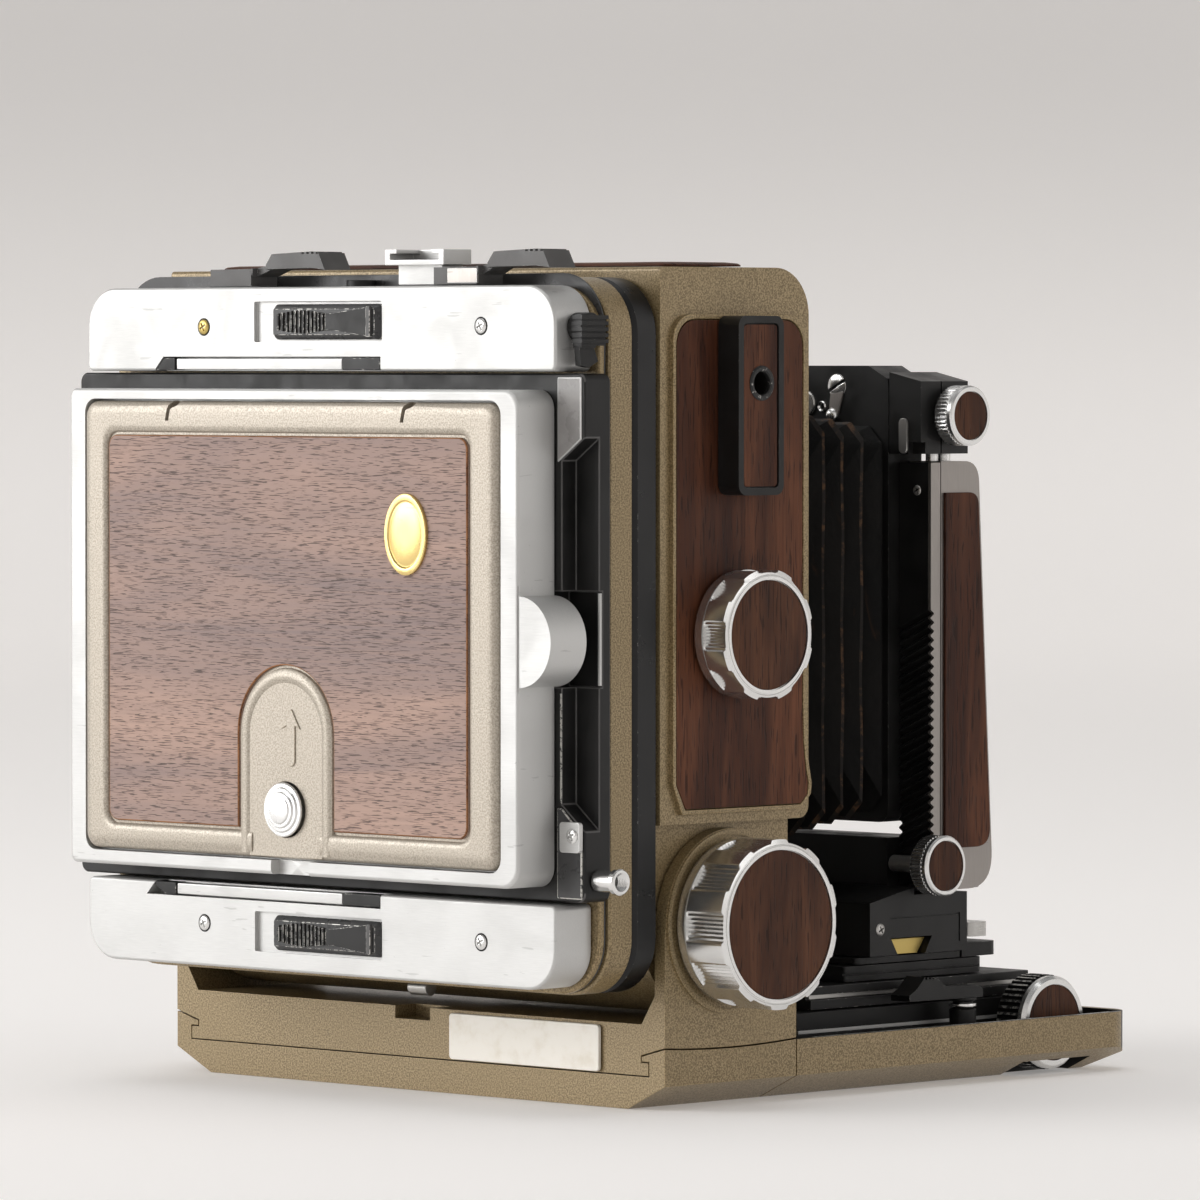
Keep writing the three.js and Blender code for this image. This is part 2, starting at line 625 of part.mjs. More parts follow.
function swingPlate() {
  const plate = box(-60, 60, 66, 103.4, 27.9, 29.4);
  const ear = box(44, 60, 103.2, 116.5, 27.9, 31.2);
  const pivot = rod('z', 24.6, 28.5, [0, DOVETAIL_Y, 0], 5, 28);
  return combine([plate, ear, pivot]);
}

piece('swing_plate', swingPlate(), BLACK);

function dovetailOutline(grow, low, high) {
  const y = DOVETAIL_Y;
  return polygon([[y - 4.2 - grow, low], [y + 4.2 + grow, low], [y + 6.9 + grow, high], [y - 6.9 - grow, high]]);
}

piece('dovetail_bar', prism(dovetailOutline(0, 29.7, 33.4), 'x', -60, 60), BRASS);

function crossBlock() {
  const outline = polygon([[68.5, CROSS_BOTTOM], [102.8, CROSS_BOTTOM], [102.8, CROSS_TOP], [84, CROSS_TOP],
    [84, 45.6], [68.5, 42.4]]);
  const block = prism(outline, 'x', -UPRIGHT_OUT, UPRIGHT_OUT);
  const bridge = box(-LENS_HALF, LENS_HALF, 86, 100, CROSS_TOP - 1, 56.9);
  const cut = prism(dovetailOutline(0.35, 29.3, 33.8), 'x', -70, 70);
  const relief = box(-70, 70, DOVETAIL_Y - 4.8, DOVETAIL_Y + 4.8, 29, 30.5);
  return combine([block, bridge], [cut, relief]);
}

piece('cross_slide', crossBlock(), BLACK);

function rackOutline() {
  const points = [[RACK_FRONT, 45.9], [RACK_FRONT, 146.6], [RACK_REAR, 146.6]];
  const pitch = 2.45;
  for (let z = 111; z > 58; z -= pitch) {
    points.push([RACK_REAR, z], [RACK_REAR + 1.1, z - pitch * 0.3], [RACK_REAR + 1.1, z - pitch * 0.6],
      [RACK_REAR, z - pitch * 0.9]);
  }
  points.push([RACK_REAR, 45.9]);
  return polygon(points);
}

for (const [label, side] of SIDES) {
  piece('rack_' + label, sidePrism(rackOutline(), side, UPRIGHT_IN, UPRIGHT_OUT), BLACK);
}

// ---- riser with its side panels
// Side view of an arm: straight at the back, wider towards the bottom, rounded at the front.
function armSide(rear, low, high, frontLow, frontHigh, lowRadius, highRadius) {
  const slope = (frontHigh - frontLow) / (high - low);
  const shape = new THREE.Shape();
  shape.moveTo(rear, low);
  shape.lineTo(frontLow - lowRadius, low);
  shape.quadraticCurveTo(frontLow, low, frontLow + slope * lowRadius, low + lowRadius);
  shape.lineTo(frontHigh - slope * highRadius, high - highRadius);
  shape.quadraticCurveTo(frontHigh, high, frontHigh - highRadius, high);
  shape.lineTo(rear, high);
  shape.closePath();
  return shape;
}

function riserFrame() {
  const parts = [box(-UPRIGHT_OUT, UPRIGHT_OUT, 103.2, RISER_FRONT, 44.4, 50)];
  for (const [, side] of SIDES) {
    const arm = armSide(RACK_FRONT + GAP, 44.4, RISER_TOP, 112.6, 107.2, 9, 5);
    parts.push(sidePrism(arm, side, UPRIGHT_IN, UPRIGHT_OUT, 8));
    for (const y of [95.6, 100]) {
      parts.push(rod('z', RISER_TOP - 1, 150, [side * 57, y, 0], 1.5, 16));
    }
    const block = polygon([[side * UPRIGHT_IN, 148.7], [side * UPRIGHT_OUT, 148.7],
      [side * UPRIGHT_OUT, 166], [side * UPRIGHT_IN, 168.2]]);
    parts.push(prism(block, 'y', LENS_REAR, 102.9));
  }
  const cuts = SIDES.map(([, side]) => sideRod(side, 50, 70, FRONT_TILT_Y, FRONT_TILT_Z, 2.4, 20));
  return combine(parts, cuts);
}

piece('riser', riserFrame(), GREY);

for (const [label, side] of SIDES) {
  const outline = armSide(94.2, 54.4, 139.4, 110.8, 106.2, 5, 3);
  piece('riser_panel_' + label, sidePrism(outline, side, 62.3, 63.1, 5), ROSEWOOD);
}

function smallKnob(side, y, z, from) {
  const teeth = [];
  const count = 24;
  for (let i = 0; i < count; i += 1) {
    for (const [offset, r] of [[0, 7.2], [0.5, 6.8]]) {
      const angle = ((i + offset) / count) * Math.PI * 2;
      teeth.push([y + r * Math.cos(angle), z + r * Math.sin(angle)]);
    }
  }
  const grip = sidePrism(polygon(teeth), side, 63.4, 69.2);
  const shaft = sideRod(side, from, 64, y, z, 2, 20);
  return combine([grip, shaft]);
}

piece('rise_knob_right', smallKnob(1, 87.4, 50.8, 52.4), SILVER);
piece('rise_knob_left', smallKnob(-1, 87.4, 50.8, 52.4), SILVER);
piece('front_clamp_right', smallKnob(1, FRONT_TILT_Y, FRONT_TILT_Z, 46), SILVER);
piece('front_clamp_left', smallKnob(-1, FRONT_TILT_Y, FRONT_TILT_Z, 46), SILVER);

// ---- lens frame and board
function lensFrame() {
  const outline = roundedRect(-LENS_HALF, LENS_BOTTOM, LENS_HALF, LENS_TOP, [3, 3, 5, 5]);
  const solid = prism(outline, 'y', LENS_REAR, 98, 5);
  const window = box(-43, 43, 80, 110, 67, 150);
  const cuts = SIDES.map(([, side]) => sideRod(side, 45, 60, FRONT_TILT_Y, FRONT_TILT_Z, 2.4, 20));
  return combine([solid], [window, ...cuts]);
}

piece('lens_frame', lensFrame(), BLACK);

function lensBoard() {
  const outline = roundedRect(-48, 62.2, 48, 154.6, 3);
  const hole = new THREE.Path();
  hole.absarc(0, BACK_Z, LENS_HOLE_RADIUS, 0, Math.PI * 2, true);
  outline.holes.push(hole);
  return prism(outline, 'y', 98.3, 100.8, 9);
}

piece('lens_board', lensBoard(), BLACK);

// ---- bellows: a plain tapered sleeve
function bellows() {
  const rear = [-15, 64, 49, 167];
  const front = [85.7, 50.5, 62, 156];
  const wall = 3;
  const ring = ([y, half, low, high], inset) => [
    [-half + inset, y, low + inset], [half - inset, y, low + inset],
    [half - inset, y, high - inset], [-half + inset, y, high - inset],
  ];
  const rings = [ring(rear, 0), ring(front, 0), ring(front, wall), ring(rear, wall)];
  const positions = rings.flat(2);
  const index = [];
  for (let a = 0; a < 4; a += 1) {
    const b = (a + 1) % 4;
    for (let k = 0; k < 4; k += 1) {
      const next = (k + 1) % 4;
      index.push(a * 4 + k, b * 4 + next, a * 4 + next, a * 4 + k, b * 4 + k, b * 4 + next);
    }
  }
  const geometry = new THREE.BufferGeometry();
  geometry.setAttribute('position', new THREE.BufferAttribute(new Float32Array(positions), 3));
  geometry.setIndex(index);
  return geometry;
}

piece('bellows', bellows(), CLOTH);

export default camera;
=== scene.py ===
"""Folding metal view camera: the looks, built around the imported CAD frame.

Shapes are written in millimetres and turned into metres when a mesh is made.
"""
import json
import math

import bmesh
import bpy
import numpy as np
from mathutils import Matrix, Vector


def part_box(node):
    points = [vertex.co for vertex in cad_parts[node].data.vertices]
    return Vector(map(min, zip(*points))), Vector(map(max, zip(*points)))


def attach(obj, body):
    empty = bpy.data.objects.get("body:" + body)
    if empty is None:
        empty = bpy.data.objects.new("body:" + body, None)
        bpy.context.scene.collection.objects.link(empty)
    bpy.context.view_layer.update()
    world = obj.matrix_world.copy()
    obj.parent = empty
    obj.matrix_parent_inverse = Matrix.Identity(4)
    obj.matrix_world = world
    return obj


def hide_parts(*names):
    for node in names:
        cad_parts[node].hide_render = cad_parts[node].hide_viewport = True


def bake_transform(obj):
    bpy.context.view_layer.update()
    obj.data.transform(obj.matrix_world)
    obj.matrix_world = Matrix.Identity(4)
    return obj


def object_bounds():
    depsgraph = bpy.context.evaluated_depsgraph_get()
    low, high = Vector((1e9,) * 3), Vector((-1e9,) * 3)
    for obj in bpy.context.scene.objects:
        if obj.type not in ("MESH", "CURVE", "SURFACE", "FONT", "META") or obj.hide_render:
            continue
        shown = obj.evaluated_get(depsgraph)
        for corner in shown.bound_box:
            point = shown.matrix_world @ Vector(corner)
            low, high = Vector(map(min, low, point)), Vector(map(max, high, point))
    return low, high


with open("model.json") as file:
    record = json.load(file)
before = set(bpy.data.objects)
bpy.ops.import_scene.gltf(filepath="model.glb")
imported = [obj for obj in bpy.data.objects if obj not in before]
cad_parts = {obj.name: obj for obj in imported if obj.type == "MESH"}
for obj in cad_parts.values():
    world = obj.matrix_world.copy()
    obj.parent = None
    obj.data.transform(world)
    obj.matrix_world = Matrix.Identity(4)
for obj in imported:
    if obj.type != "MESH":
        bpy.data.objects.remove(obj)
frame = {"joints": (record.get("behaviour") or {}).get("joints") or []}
cad_low, cad_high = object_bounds()
MM = 0.001


class Span:
    """Box of a CAD node at rest, in millimetres."""

    def __init__(self, node):
        low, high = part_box(node)
        self.x0, self.y0, self.z0 = (value / MM for value in low)
        self.x1, self.y1, self.z1 = (value / MM for value in high)
        self.x, self.y, self.z = (self.x0 + self.x1) / 2, (self.y0 + self.y1) / 2, (self.z0 + self.z1) / 2

    def around(self, axis, inset, radius, steps=8):
        """Rounded outline of the box seen along an axis, drawn in by inset."""
        low = {"x": (self.y0, self.z0), "y": (self.x0, self.z0), "z": (self.x0, self.y0)}[axis]
        high = {"x": (self.y1, self.z1), "y": (self.x1, self.z1), "z": (self.x1, self.y1)}[axis]
        return rounded(low[0] + inset, low[1] + inset, high[0] - inset, high[1] - inset, radius, steps)


def joint_place(name):
    """The point a hinge turns about, in millimetres."""
    joint = next(j for j in frame["joints"] if j["name"] == name)
    return [value / MM for value in joint["pos_m"]]


# ---------------------------------------------------------------- camera
CAMERA_PLACE = (1.39606, -1.38027, 0.17153)
CAMERA_YAW = 44.5
CAMERA_PITCH = -1.6647
CAMERA_LENS = 249.75


def make_camera():
    data = bpy.data.cameras.new("photo_camera")
    data.lens = CAMERA_LENS
    data.sensor_width = 36
    data.clip_start = 0.05
    data.clip_end = 50
    camera = bpy.data.objects.new("photo_camera", data)
    bpy.context.scene.collection.objects.link(camera)
    camera.location = CAMERA_PLACE
    camera.rotation_euler = (math.radians(90 + CAMERA_PITCH), 0, math.radians(CAMERA_YAW))
    bpy.context.scene.camera = camera


make_camera()


# ---------------------------------------------------------------- material tools
class Paint:
    """A node material under construction. Positions are object coordinates in metres."""

    def __init__(self, name, color, roughness=0.5, metallic=0.0, **sockets):
        self.material = bpy.data.materials.new(name)
        self.material.use_nodes = True
        self.tree = self.material.node_tree
        self.shader = self.tree.nodes["Principled BSDF"]
        self.place = self.node("ShaderNodeTexCoord").outputs["Object"]
        self.set("Base Color", color)
        self.set("Roughness", roughness)
        self.set("Metallic", metallic)
        for socket, value in sockets.items():
            self.set(socket.replace("_", " "), value)

    def node(self, kind, **settings):
        made = self.tree.nodes.new(kind)
        for key, value in settings.items():
            setattr(made, key, value)
        return made

    def plug(self, socket, value):
        if isinstance(value, bpy.types.NodeSocket):
            self.tree.links.new(value, socket)
        elif isinstance(value, (tuple, list)) and len(value) == 3 and socket.type == "RGBA":
            socket.default_value = (*value, 1)
        else:
            socket.default_value = value

    def set(self, socket, value):
        self.plug(self.shader.inputs[socket], value)

    def stretched(self, stretch, turn=(0, 0, 0)):
        mapping = self.node("ShaderNodeMapping")
        self.plug(mapping.inputs["Vector"], self.place)
        mapping.inputs["Rotation"].default_value = [math.radians(a) for a in turn]
        mapping.inputs["Scale"].default_value = stretch
        return mapping.outputs["Vector"]

    def noise(self, size, detail=3.0, rough=0.5, stretch=(1, 1, 1), turn=(0, 0, 0), distortion=0.0):
        """Noise with features about size millimetres across; stretch shortens them along an axis."""
        made = self.node("ShaderNodeTexNoise")
        self.plug(made.inputs["Vector"], self.stretched(stretch, turn))
        made.inputs["Scale"].default_value = 1 / (size * MM)
        made.inputs["Detail"].default_value = detail
        made.inputs["Roughness"].default_value = rough
        made.inputs["Distortion"].default_value = distortion
        return made.outputs["Fac"]

    def cells(self, size):
        made = self.node("ShaderNodeTexVoronoi", feature="F1")
        self.plug(made.inputs["Vector"], self.stretched((1, 1, 1)))
        made.inputs["Scale"].default_value = 1 / (size * MM)
        return made.outputs["Distance"]

    def ramp(self, value, low, high, first=0.0, last=1.0):
        """Maps low..high to first..last, clamped."""
        made = self.node("ShaderNodeMapRange", clamp=True, interpolation_type="SMOOTHSTEP")
        self.plug(made.inputs["Value"], value)
        for socket, number in zip(("From Min", "From Max", "To Min", "To Max"), (low, high, first, last)):
            made.inputs[socket].default_value = number
        return made.outputs["Result"]

    def mix(self, share, first, second):
        made = self.node("ShaderNodeMix", data_type="RGBA", blend_type="MIX")
        self.plug(made.inputs[0], share)
        self.plug(made.inputs[6], first)
        self.plug(made.inputs[7], second)
        return made.outputs[2]

    def math(self, kind, first, second=0.0):
        made = self.node("ShaderNodeMath", operation=kind)
        self.plug(made.inputs[0], first)
        self.plug(made.inputs[1], second)
        return made.outputs[0]

    def bump(self, height, depth, strength=1.0, under=None):
        """Adds relief: depth is in millimetres."""
        made = self.node("ShaderNodeBump")
        made.inputs["Strength"].default_value = strength
        made.inputs["Distance"].default_value = depth * MM
        self.plug(made.inputs["Height"], height)
        if under is not None:
            self.plug(made.inputs["Normal"], under)
        self.set("Normal", made.outputs["Normal"])
        return made.outputs["Normal"]


def hammered(name, base, dark, light, wear):
    """Champagne hammer paint: fine pimpled relief, metallic flecks and chips that show the primer."""
    paint = Paint(name, base, 0.42, 0.35, Coat_Weight=0.3, Coat_Roughness=0.3)
    fleck = paint.noise(0.42, 2.0, 0.6)
    cloud = paint.noise(16, 3.0, 0.5)
    color = paint.mix(paint.ramp(fleck, 0.32, 0.68), dark, light)
    color = paint.mix(paint.ramp(cloud, 0.3, 0.7, 0.0, 0.35), color, base)
    pit = paint.ramp(paint.noise(1.3, 1.0, 0.5), 0.66 - wear, 0.70 - wear)
    grime = paint.ramp(paint.noise(7, 4.0, 0.65), 0.55, 0.75, 0.0, 0.35)
    color = paint.mix(paint.math("MULTIPLY", pit, grime), color, (0.05, 0.04, 0.03))
    paint.set("Base Color", color)
    paint.set("Roughness", paint.ramp(fleck, 0.3, 0.7, 0.5, 0.36))
    relief = paint.bump(paint.noise(0.7, 2.0, 0.5), 0.05, 0.5)
    paint.bump(paint.noise(0.35, 1.0, 0.5), 0.02, 0.4, relief)
    return paint.material


def worn_paint(name, base, under, wear, size=2.2, roughness=0.42):
    """Dark enamel with dust, rubbed patches and, where wear is high, bare metal showing."""
    paint = Paint(name, base, roughness, 0.0, Specular_IOR_Level=0.36)
    chip = paint.noise(size, 5.0, 0.7, distortion=0.6)
    rub = paint.noise(9, 4.0, 0.6)
    bare = paint.ramp(chip, 0.74 - wear, 0.79 - wear)
    tone = paint.mix(paint.ramp(rub, 0.35, 0.75, 0.0, 0.5), base, tuple(c * 1.7 + 0.002 for c in base))
    paint.set("Base Color", paint.mix(bare, tone, under))
    paint.set("Metallic", paint.math("MULTIPLY", bare, 0.7))
    paint.set("Roughness", paint.ramp(rub, 0.3, 0.7, roughness - 0.08, roughness + 0.12))
    grain = paint.bump(paint.noise(0.45, 2.0, 0.6), 0.02, 0.35)
    paint.bump(paint.math("SUBTRACT", 1.0, bare), 0.05, 0.5, grain)
    return paint.material


def brushed(name, base, along, roughness, metallic=0.85, dings=0.5):
    """Bare metal: fine lines along one axis, long scratches, small dark dings and dull finger marks."""
    paint = Paint(name, base, roughness, metallic)
    lines = [1, 1, 1]
    for axis in range(3):
        if axis != along:
            lines[axis] = 26
    grain = paint.noise(5, 3.0, 0.7, stretch=lines)
    smear = paint.noise(22, 3.0, 0.6, distortion=0.8)
    ding = paint.ramp(paint.noise(1.7, 4.0, 0.75, distortion=0.5), 0.70, 0.76, 0.0, dings)
    scratch = paint.ramp(paint.noise(3.2, 2.0, 0.5, stretch=(0.35, 0.35, 2.5), turn=(24, 38, 12)), 0.70,
                         0.73, 0.0, 0.5)
    tone = paint.mix(paint.ramp(grain, 0.3, 0.7, 0.0, 0.35), base, tuple(c * 0.78 for c in base))
    tone = paint.mix(ding, tone, tuple(c * 0.35 for c in base))
    paint.set("Base Color", paint.mix(scratch, tone, tuple(c * 0.6 for c in base)))
    rough = paint.math("ADD", paint.ramp(smear, 0.3, 0.7, roughness - 0.05, roughness + 0.1),
                       paint.math("MULTIPLY", ding, 0.3))
    paint.set("Roughness", rough)
    fine = paint.bump(grain, 0.012, 0.35)
    paint.bump(paint.math("SUBTRACT", 1.0, paint.math("ADD", ding, scratch)), 0.03, 0.4, fine)
    return paint.material


def timber(name, base, dark, light, grain_axis, pore, across=14, sheen_rough=0.42, pore_size=0.5,
           pore_run=0.07):
    """Oiled wood: slow colour bands, fibres and short dark pores, all running along grain_axis."""
    def run(sideways, lengthways):
        return tuple(lengthways if axis == grain_axis else sideways for axis in range(3))

    paint = Paint(name, base, sheen_rough, 0.0, Specular_IOR_Level=0.18)
    bands = paint.noise(across, 3.0, 0.55, stretch=run(1.0, 0.12), distortion=0.9)
    fibre = paint.noise(0.8, 3.0, 0.6, stretch=run(1.0, 0.03), distortion=0.25)
    pores = paint.noise(pore_size, 1.0, 0.4, stretch=run(1.0, pore_run), distortion=0.35)
    hole = paint.ramp(pores, 0.58, 0.65)
    tone = paint.mix(paint.ramp(bands, 0.3, 0.7), dark, light)
    tone = paint.mix(paint.ramp(fibre, 0.35, 0.7, 0.0, 0.55), tone, base)
    tone = paint.mix(paint.math("MULTIPLY", hole, pore), tone, tuple(c * 0.28 for c in dark))
    paint.set("Base Color", tone)
    paint.set("Roughness", paint.ramp(fibre, 0.3, 0.7, sheen_rough, sheen_rough + 0.14))
    relief = paint.bump(fibre, 0.02, 0.3)
    paint.bump(paint.math("SUBTRACT", 1.0, hole), 0.08, 0.5, relief)
    return paint.material


def folded_leather(name):
    """Black bellows leather: pebbled, dusty, with brown rubbed patches."""
    paint = Paint(name, (0.006, 0.006, 0.006), 0.62, 0.0, Specular_IOR_Level=0.3)
    rub = paint.noise(7, 5.0, 0.68, stretch=(1, 1, 0.35), distortion=0.6)
    dust = paint.noise(28, 3.0, 0.6)
    tone = paint.mix(paint.ramp(dust, 0.4, 0.75, 0.0, 0.6), (0.0025, 0.0025, 0.0025),
                     (0.010, 0.008, 0.0065))
    paint.set("Base Color", paint.mix(paint.ramp(rub, 0.62, 0.76, 0.0, 0.6), tone, (0.075, 0.034, 0.013)))
    paint.set("Roughness", paint.ramp(rub, 0.35, 0.7, 0.55, 0.75))
    pebble = paint.bump(paint.cells(0.8), 0.12, 0.4)
    paint.bump(paint.noise(5, 3.0, 0.6), 0.5, 0.35, pebble)
    return paint.material


def worn_crease(name):
    """Folded edge of the bellows, rubbed through to brown hide."""
    paint = Paint(name, (0.10, 0.05, 0.02), 0.6, 0.0)
    rub = paint.noise(3.5, 5.0, 0.7, distortion=0.5)
    paint.set("Base Color", paint.mix(paint.ramp(rub, 0.48, 0.66), (0.016, 0.013, 0.011),
                                      (0.12, 0.062, 0.03)))
    paint.bump(paint.noise(1.2, 3.0, 0.6), 0.15, 0.5)
    return paint.material


def ground_glass_material():
    paint = Paint("screen_glass", (0.86, 0.90, 0.88), 0.45, 0.0, IOR=1.5)
    paint.set("Transmission Weight", 0.75)
    paint.bump(paint.noise(0.2, 2.0, 0.6), 0.02, 0.3)
    tint = paint.noise(30, 2.0, 0.5)
    paint.set("Base Color", paint.mix(paint.ramp(tint, 0.3, 0.7), (0.84, 0.89, 0.86), (0.90, 0.93, 0.91)))
    return paint.material


def satin_enamel(name, base, edge):
    paint = Paint(name, base, 0.4, 0.1)
    stain = paint.noise(6, 4.0, 0.65)
    paint.set("Base Color", paint.mix(paint.ramp(stain, 0.45, 0.8, 0.0, 0.5), base, edge))
    paint.set("Roughness", paint.ramp(stain, 0.3, 0.7, 0.34, 0.48))
    paint.bump(paint.noise(0.8, 2.0, 0.5), 0.01, 0.3)
    return paint.material


GOLD = hammered("champagne_hammer", (0.262, 0.192, 0.094), (0.142, 0.098, 0.042), (0.37, 0.28, 0.15), 0.0)
GOLD_EDGE = hammered("champagne_edge", (0.31, 0.225, 0.105), (0.175, 0.12, 0.05), (0.44, 0.33, 0.17),
                     0.03)
COVER_GOLD = hammered("pale_champagne", (0.43, 0.38, 0.315), (0.32, 0.28, 0.225), (0.53, 0.475, 0.395),
                      0.0)
COVER_EDGE = hammered("pale_champagne_edge", (0.36, 0.31, 0.24), (0.24, 0.20, 0.145), (0.47, 0.41, 0.33),
                      0.03)
BLACK = worn_paint("black_enamel", (0.0065, 0.0063, 0.0062), (0.35, 0.34, 0.32), 0.0)
BLACK_EDGE = worn_paint("black_enamel_edge", (0.016, 0.016, 0.016), (0.42, 0.41, 0.39), 0.16, 1.6)
RING_BLACK = worn_paint("ring_black", (0.0065, 0.0065, 0.007), (0.3, 0.3, 0.28), -0.1, roughness=0.34)
GREY = worn_paint("dark_grey_enamel", (0.075, 0.073, 0.072), (0.55, 0.54, 0.52), 0.0, roughness=0.38)
GREY_EDGE = worn_paint("dark_grey_edge", (0.10, 0.10, 0.10), (0.6, 0.6, 0.58), 0.16, 1.6)
# Grey over black: the key light's reflection on glossy black paint, painted into the colour.
REFLECTION_GREY_BLACK = worn_paint("black_with_painted_reflection", (0.26, 0.252, 0.247), (0.6, 0.59, 0.57), 0.02, roughness=0.26)
RUBBED = worn_paint("rubbed_black", (0.06, 0.06, 0.06), (0.62, 0.61, 0.57), 0.30, 1.2, roughness=0.4)
RIB_EDGE = worn_paint("rib_edge", (0.03, 0.03, 0.03), (0.5, 0.49, 0.46), 0.26, 1.4, roughness=0.35)
DECK = worn_paint("glossy_deck", (0.045, 0.045, 0.046), (0.45, 0.44, 0.42), 0.0, roughness=0.3)
SILVER = brushed("bare_aluminium_x", (0.60, 0.60, 0.59), 0, 0.46, 0.55, 0.9)
SILVER_EDGE = brushed("bare_aluminium_edge", (0.70, 0.70, 0.69), 0, 0.38, 0.6)
SATIN = brushed("satin_aluminium_z", (0.34, 0.315, 0.295), 2, 0.36, dings=0.3)
CHROME = brushed("bright_turned_metal", (0.82, 0.82, 0.81), 0, 0.2, 0.95, 0.25)
STEEL = brushed("grey_steel", (0.52, 0.51, 0.49), 1, 0.3)
BRASS = brushed("satin_brass", (0.62, 0.47, 0.16), 0, 0.34, dings=0.6)
BADGE_BRASS = brushed("polished_brass", (0.80, 0.60, 0.24), 2, 0.25, dings=0.3)
ROSEWOOD = timber("rosewood_upright", (0.083, 0.0275, 0.0135), (0.033, 0.0105, 0.0055),
                  (0.155, 0.056, 0.0255), 2, 0.6)
TOP_WOOD = timber("rosewood_across", (0.066, 0.0215, 0.0105), (0.026, 0.008, 0.004),
                  (0.128, 0.045, 0.020), 0, 0.6)
# Pale cover wood: dark rosewood with the key light's white sheen painted into its colour, so it stays pale
# from every side.
HOOD_WOOD_PAINTED_SHEEN = timber("hood_wood_painted_sheen", (0.38, 0.272, 0.232), (0.285, 0.218, 0.205), (0.48, 0.33, 0.27), 0,
                    0.8, 22, 0.5,
                    0.2, 0.06)
KNOB_WOOD = timber("knob_wood", (0.064, 0.023, 0.0105), (0.030, 0.010, 0.005), (0.115, 0.045, 0.021), 2,
                   0.6, 9)
WOOD_EDGE = timber("wood_cut_edge", (0.25, 0.11, 0.045), (0.14, 0.055, 0.022), (0.36, 0.17, 0.075), 0,
                   0.5, 9)
LEATHER = folded_leather("bellows_leather")
CREASE = worn_crease("bellows_crease")
GLASS = ground_glass_material()
CREAM = satin_enamel("cream_enamel", (0.92, 0.89, 0.82), (0.70, 0.63, 0.50))
# Black for painted shade in gaps and slots (round the screw heads, on the floor of the shoe slot) and for
# the grid lines printed on the focusing glass.
SHADE_AND_GRID_BLACK = worn_paint("painted_shade_and_grid_black", (0.008, 0.008, 0.008), (0.05, 0.05, 0.05), -0.2, roughness=0.7)


# ---------------------------------------------------------------- outlines, as (u, v) points
def rounded(u0, v0, u1, v1, radius, steps=8):
    """Rectangle with rounded corners; radii go low-low, high-low, high-high, low-high."""
    radii = radius if isinstance(radius, (list, tuple)) else [radius] * 4
    corners = [(u0, v0, 1, 1, 180), (u1, v0, -1, 1, 270), (u1, v1, -1, -1, 0), (u0, v1, 1, -1, 90)]
    points = []
    for (u, v, du, dv, start), r in zip(corners, radii):
        if r <= 0:
            points.append((u, v))
            continue
        for i in range(steps + 1):
            angle = math.radians(start + 90 * i / steps)
            points.append((u + du * r + r * math.cos(angle), v + dv * r + r * math.sin(angle)))
    return points


def ellipse(u, v, ru, rv=None, steps=48):
    rv = ru if rv is None else rv
    turns = [2 * math.pi * i / steps for i in range(steps)]
    return [(u + ru * math.cos(a), v + rv * math.sin(a)) for a in turns]


def arch(half, low, top, steps=32):
    """Straight sides with a half-round top."""
    turns = [math.pi * i / steps for i in range(steps + 1)]
    return [(-half, low), (half, low)] + [(half * math.cos(a), top - half + half * math.sin(a))
                                          for a in turns]


def mirrored(points):
    return [(-u, v) for u, v in reversed(points)]


# ---------------------------------------------------------------- solids, as (vertices, faces)
def placed(u, v, w, axis):
    """Outlines are (Y,Z) for axis x, (X,Z) for axis y and (X,Y) for axis z."""
    return {"x": (w, u, v), "y": (u, w, v), "z": (u, v, w)}[axis]


def loft(rings, axis):
    """Closed solid through rings of (points, distance along axis), with flat ends."""
    count = len(rings[0][0])
    verts = [placed(u, v, w, axis) for points, w in rings for u, v in points]
    faces = []
    for k in range(len(rings) - 1):
        for i in range(count):
            j = (i + 1) % count
            faces.append((k * count + i, k * count + j, (k + 1) * count + j, (k + 1) * count + i))
    faces.append(tuple(reversed(range(count))))
    faces.append(tuple((len(rings) - 1) * count + i for i in range(count)))
    return verts, faces


def prism(points, axis, low, high):
    return loft([(points, low), (points, high)], axis)


def block(x0, x1, y0, y1, z0, z1):
    return prism([(x0, y0), (x1, y0), (x1, y1), (x0, y1)], "z", z0, z1)


def turned(profile, axis, centre=(0, 0, 0), steps=64, limit=None):
    """Turned solid: profile is (radius, distance); limit(angle, distance) is the greatest radius there."""
    cx, cy, cz = centre
    base = {"x": (cy, cz, cx), "y": (cx, cz, cy), "z": (cx, cy, cz)}[axis]
    verts, faces, rows = [], [], []
    for radius, distance in profile:
        if radius <= 1e-6:
            rows.append([len(verts)])
            verts.append(placed(base[0], base[1], base[2] + distance, axis))
            continue
        row = []
        for i in range(steps):
            angle = 2 * math.pi * i / steps
            r = min(radius, limit(angle, distance)) if limit else radius
            row.append(len(verts))
            verts.append(placed(base[0] + r * math.cos(angle), base[1] + r * math.sin(angle),
                                base[2] + distance, axis))
        rows.append(row)
    closed = len(rows[0]) > 1
    pairs = list(zip(rows, rows[1:])) + ([(rows[-1], rows[0])] if closed else [])
    for low, high in pairs:
        for i in range(steps):
            j = (i + 1) % steps
            if len(low) == 1 and len(high) > 1:
                faces.append((low[0], high[j], high[i]))
            elif len(high) == 1 and len(low) > 1:
                faces.append((low[i], low[j], high[0]))
            elif len(low) > 1:
                faces.append((low[i], low[j], high[j], high[i]))
    return verts, faces


def rod(axis, low, high, centre, radius, steps=40):
    return turned([(0, low), (radius, low), (radius, high), (0, high)], axis, centre, steps)


def tube(axis, low, high, centre, outer, inner, steps=48):
    return turned([(inner, low), (outer, low), (outer, high), (inner, high)], axis, centre, steps)


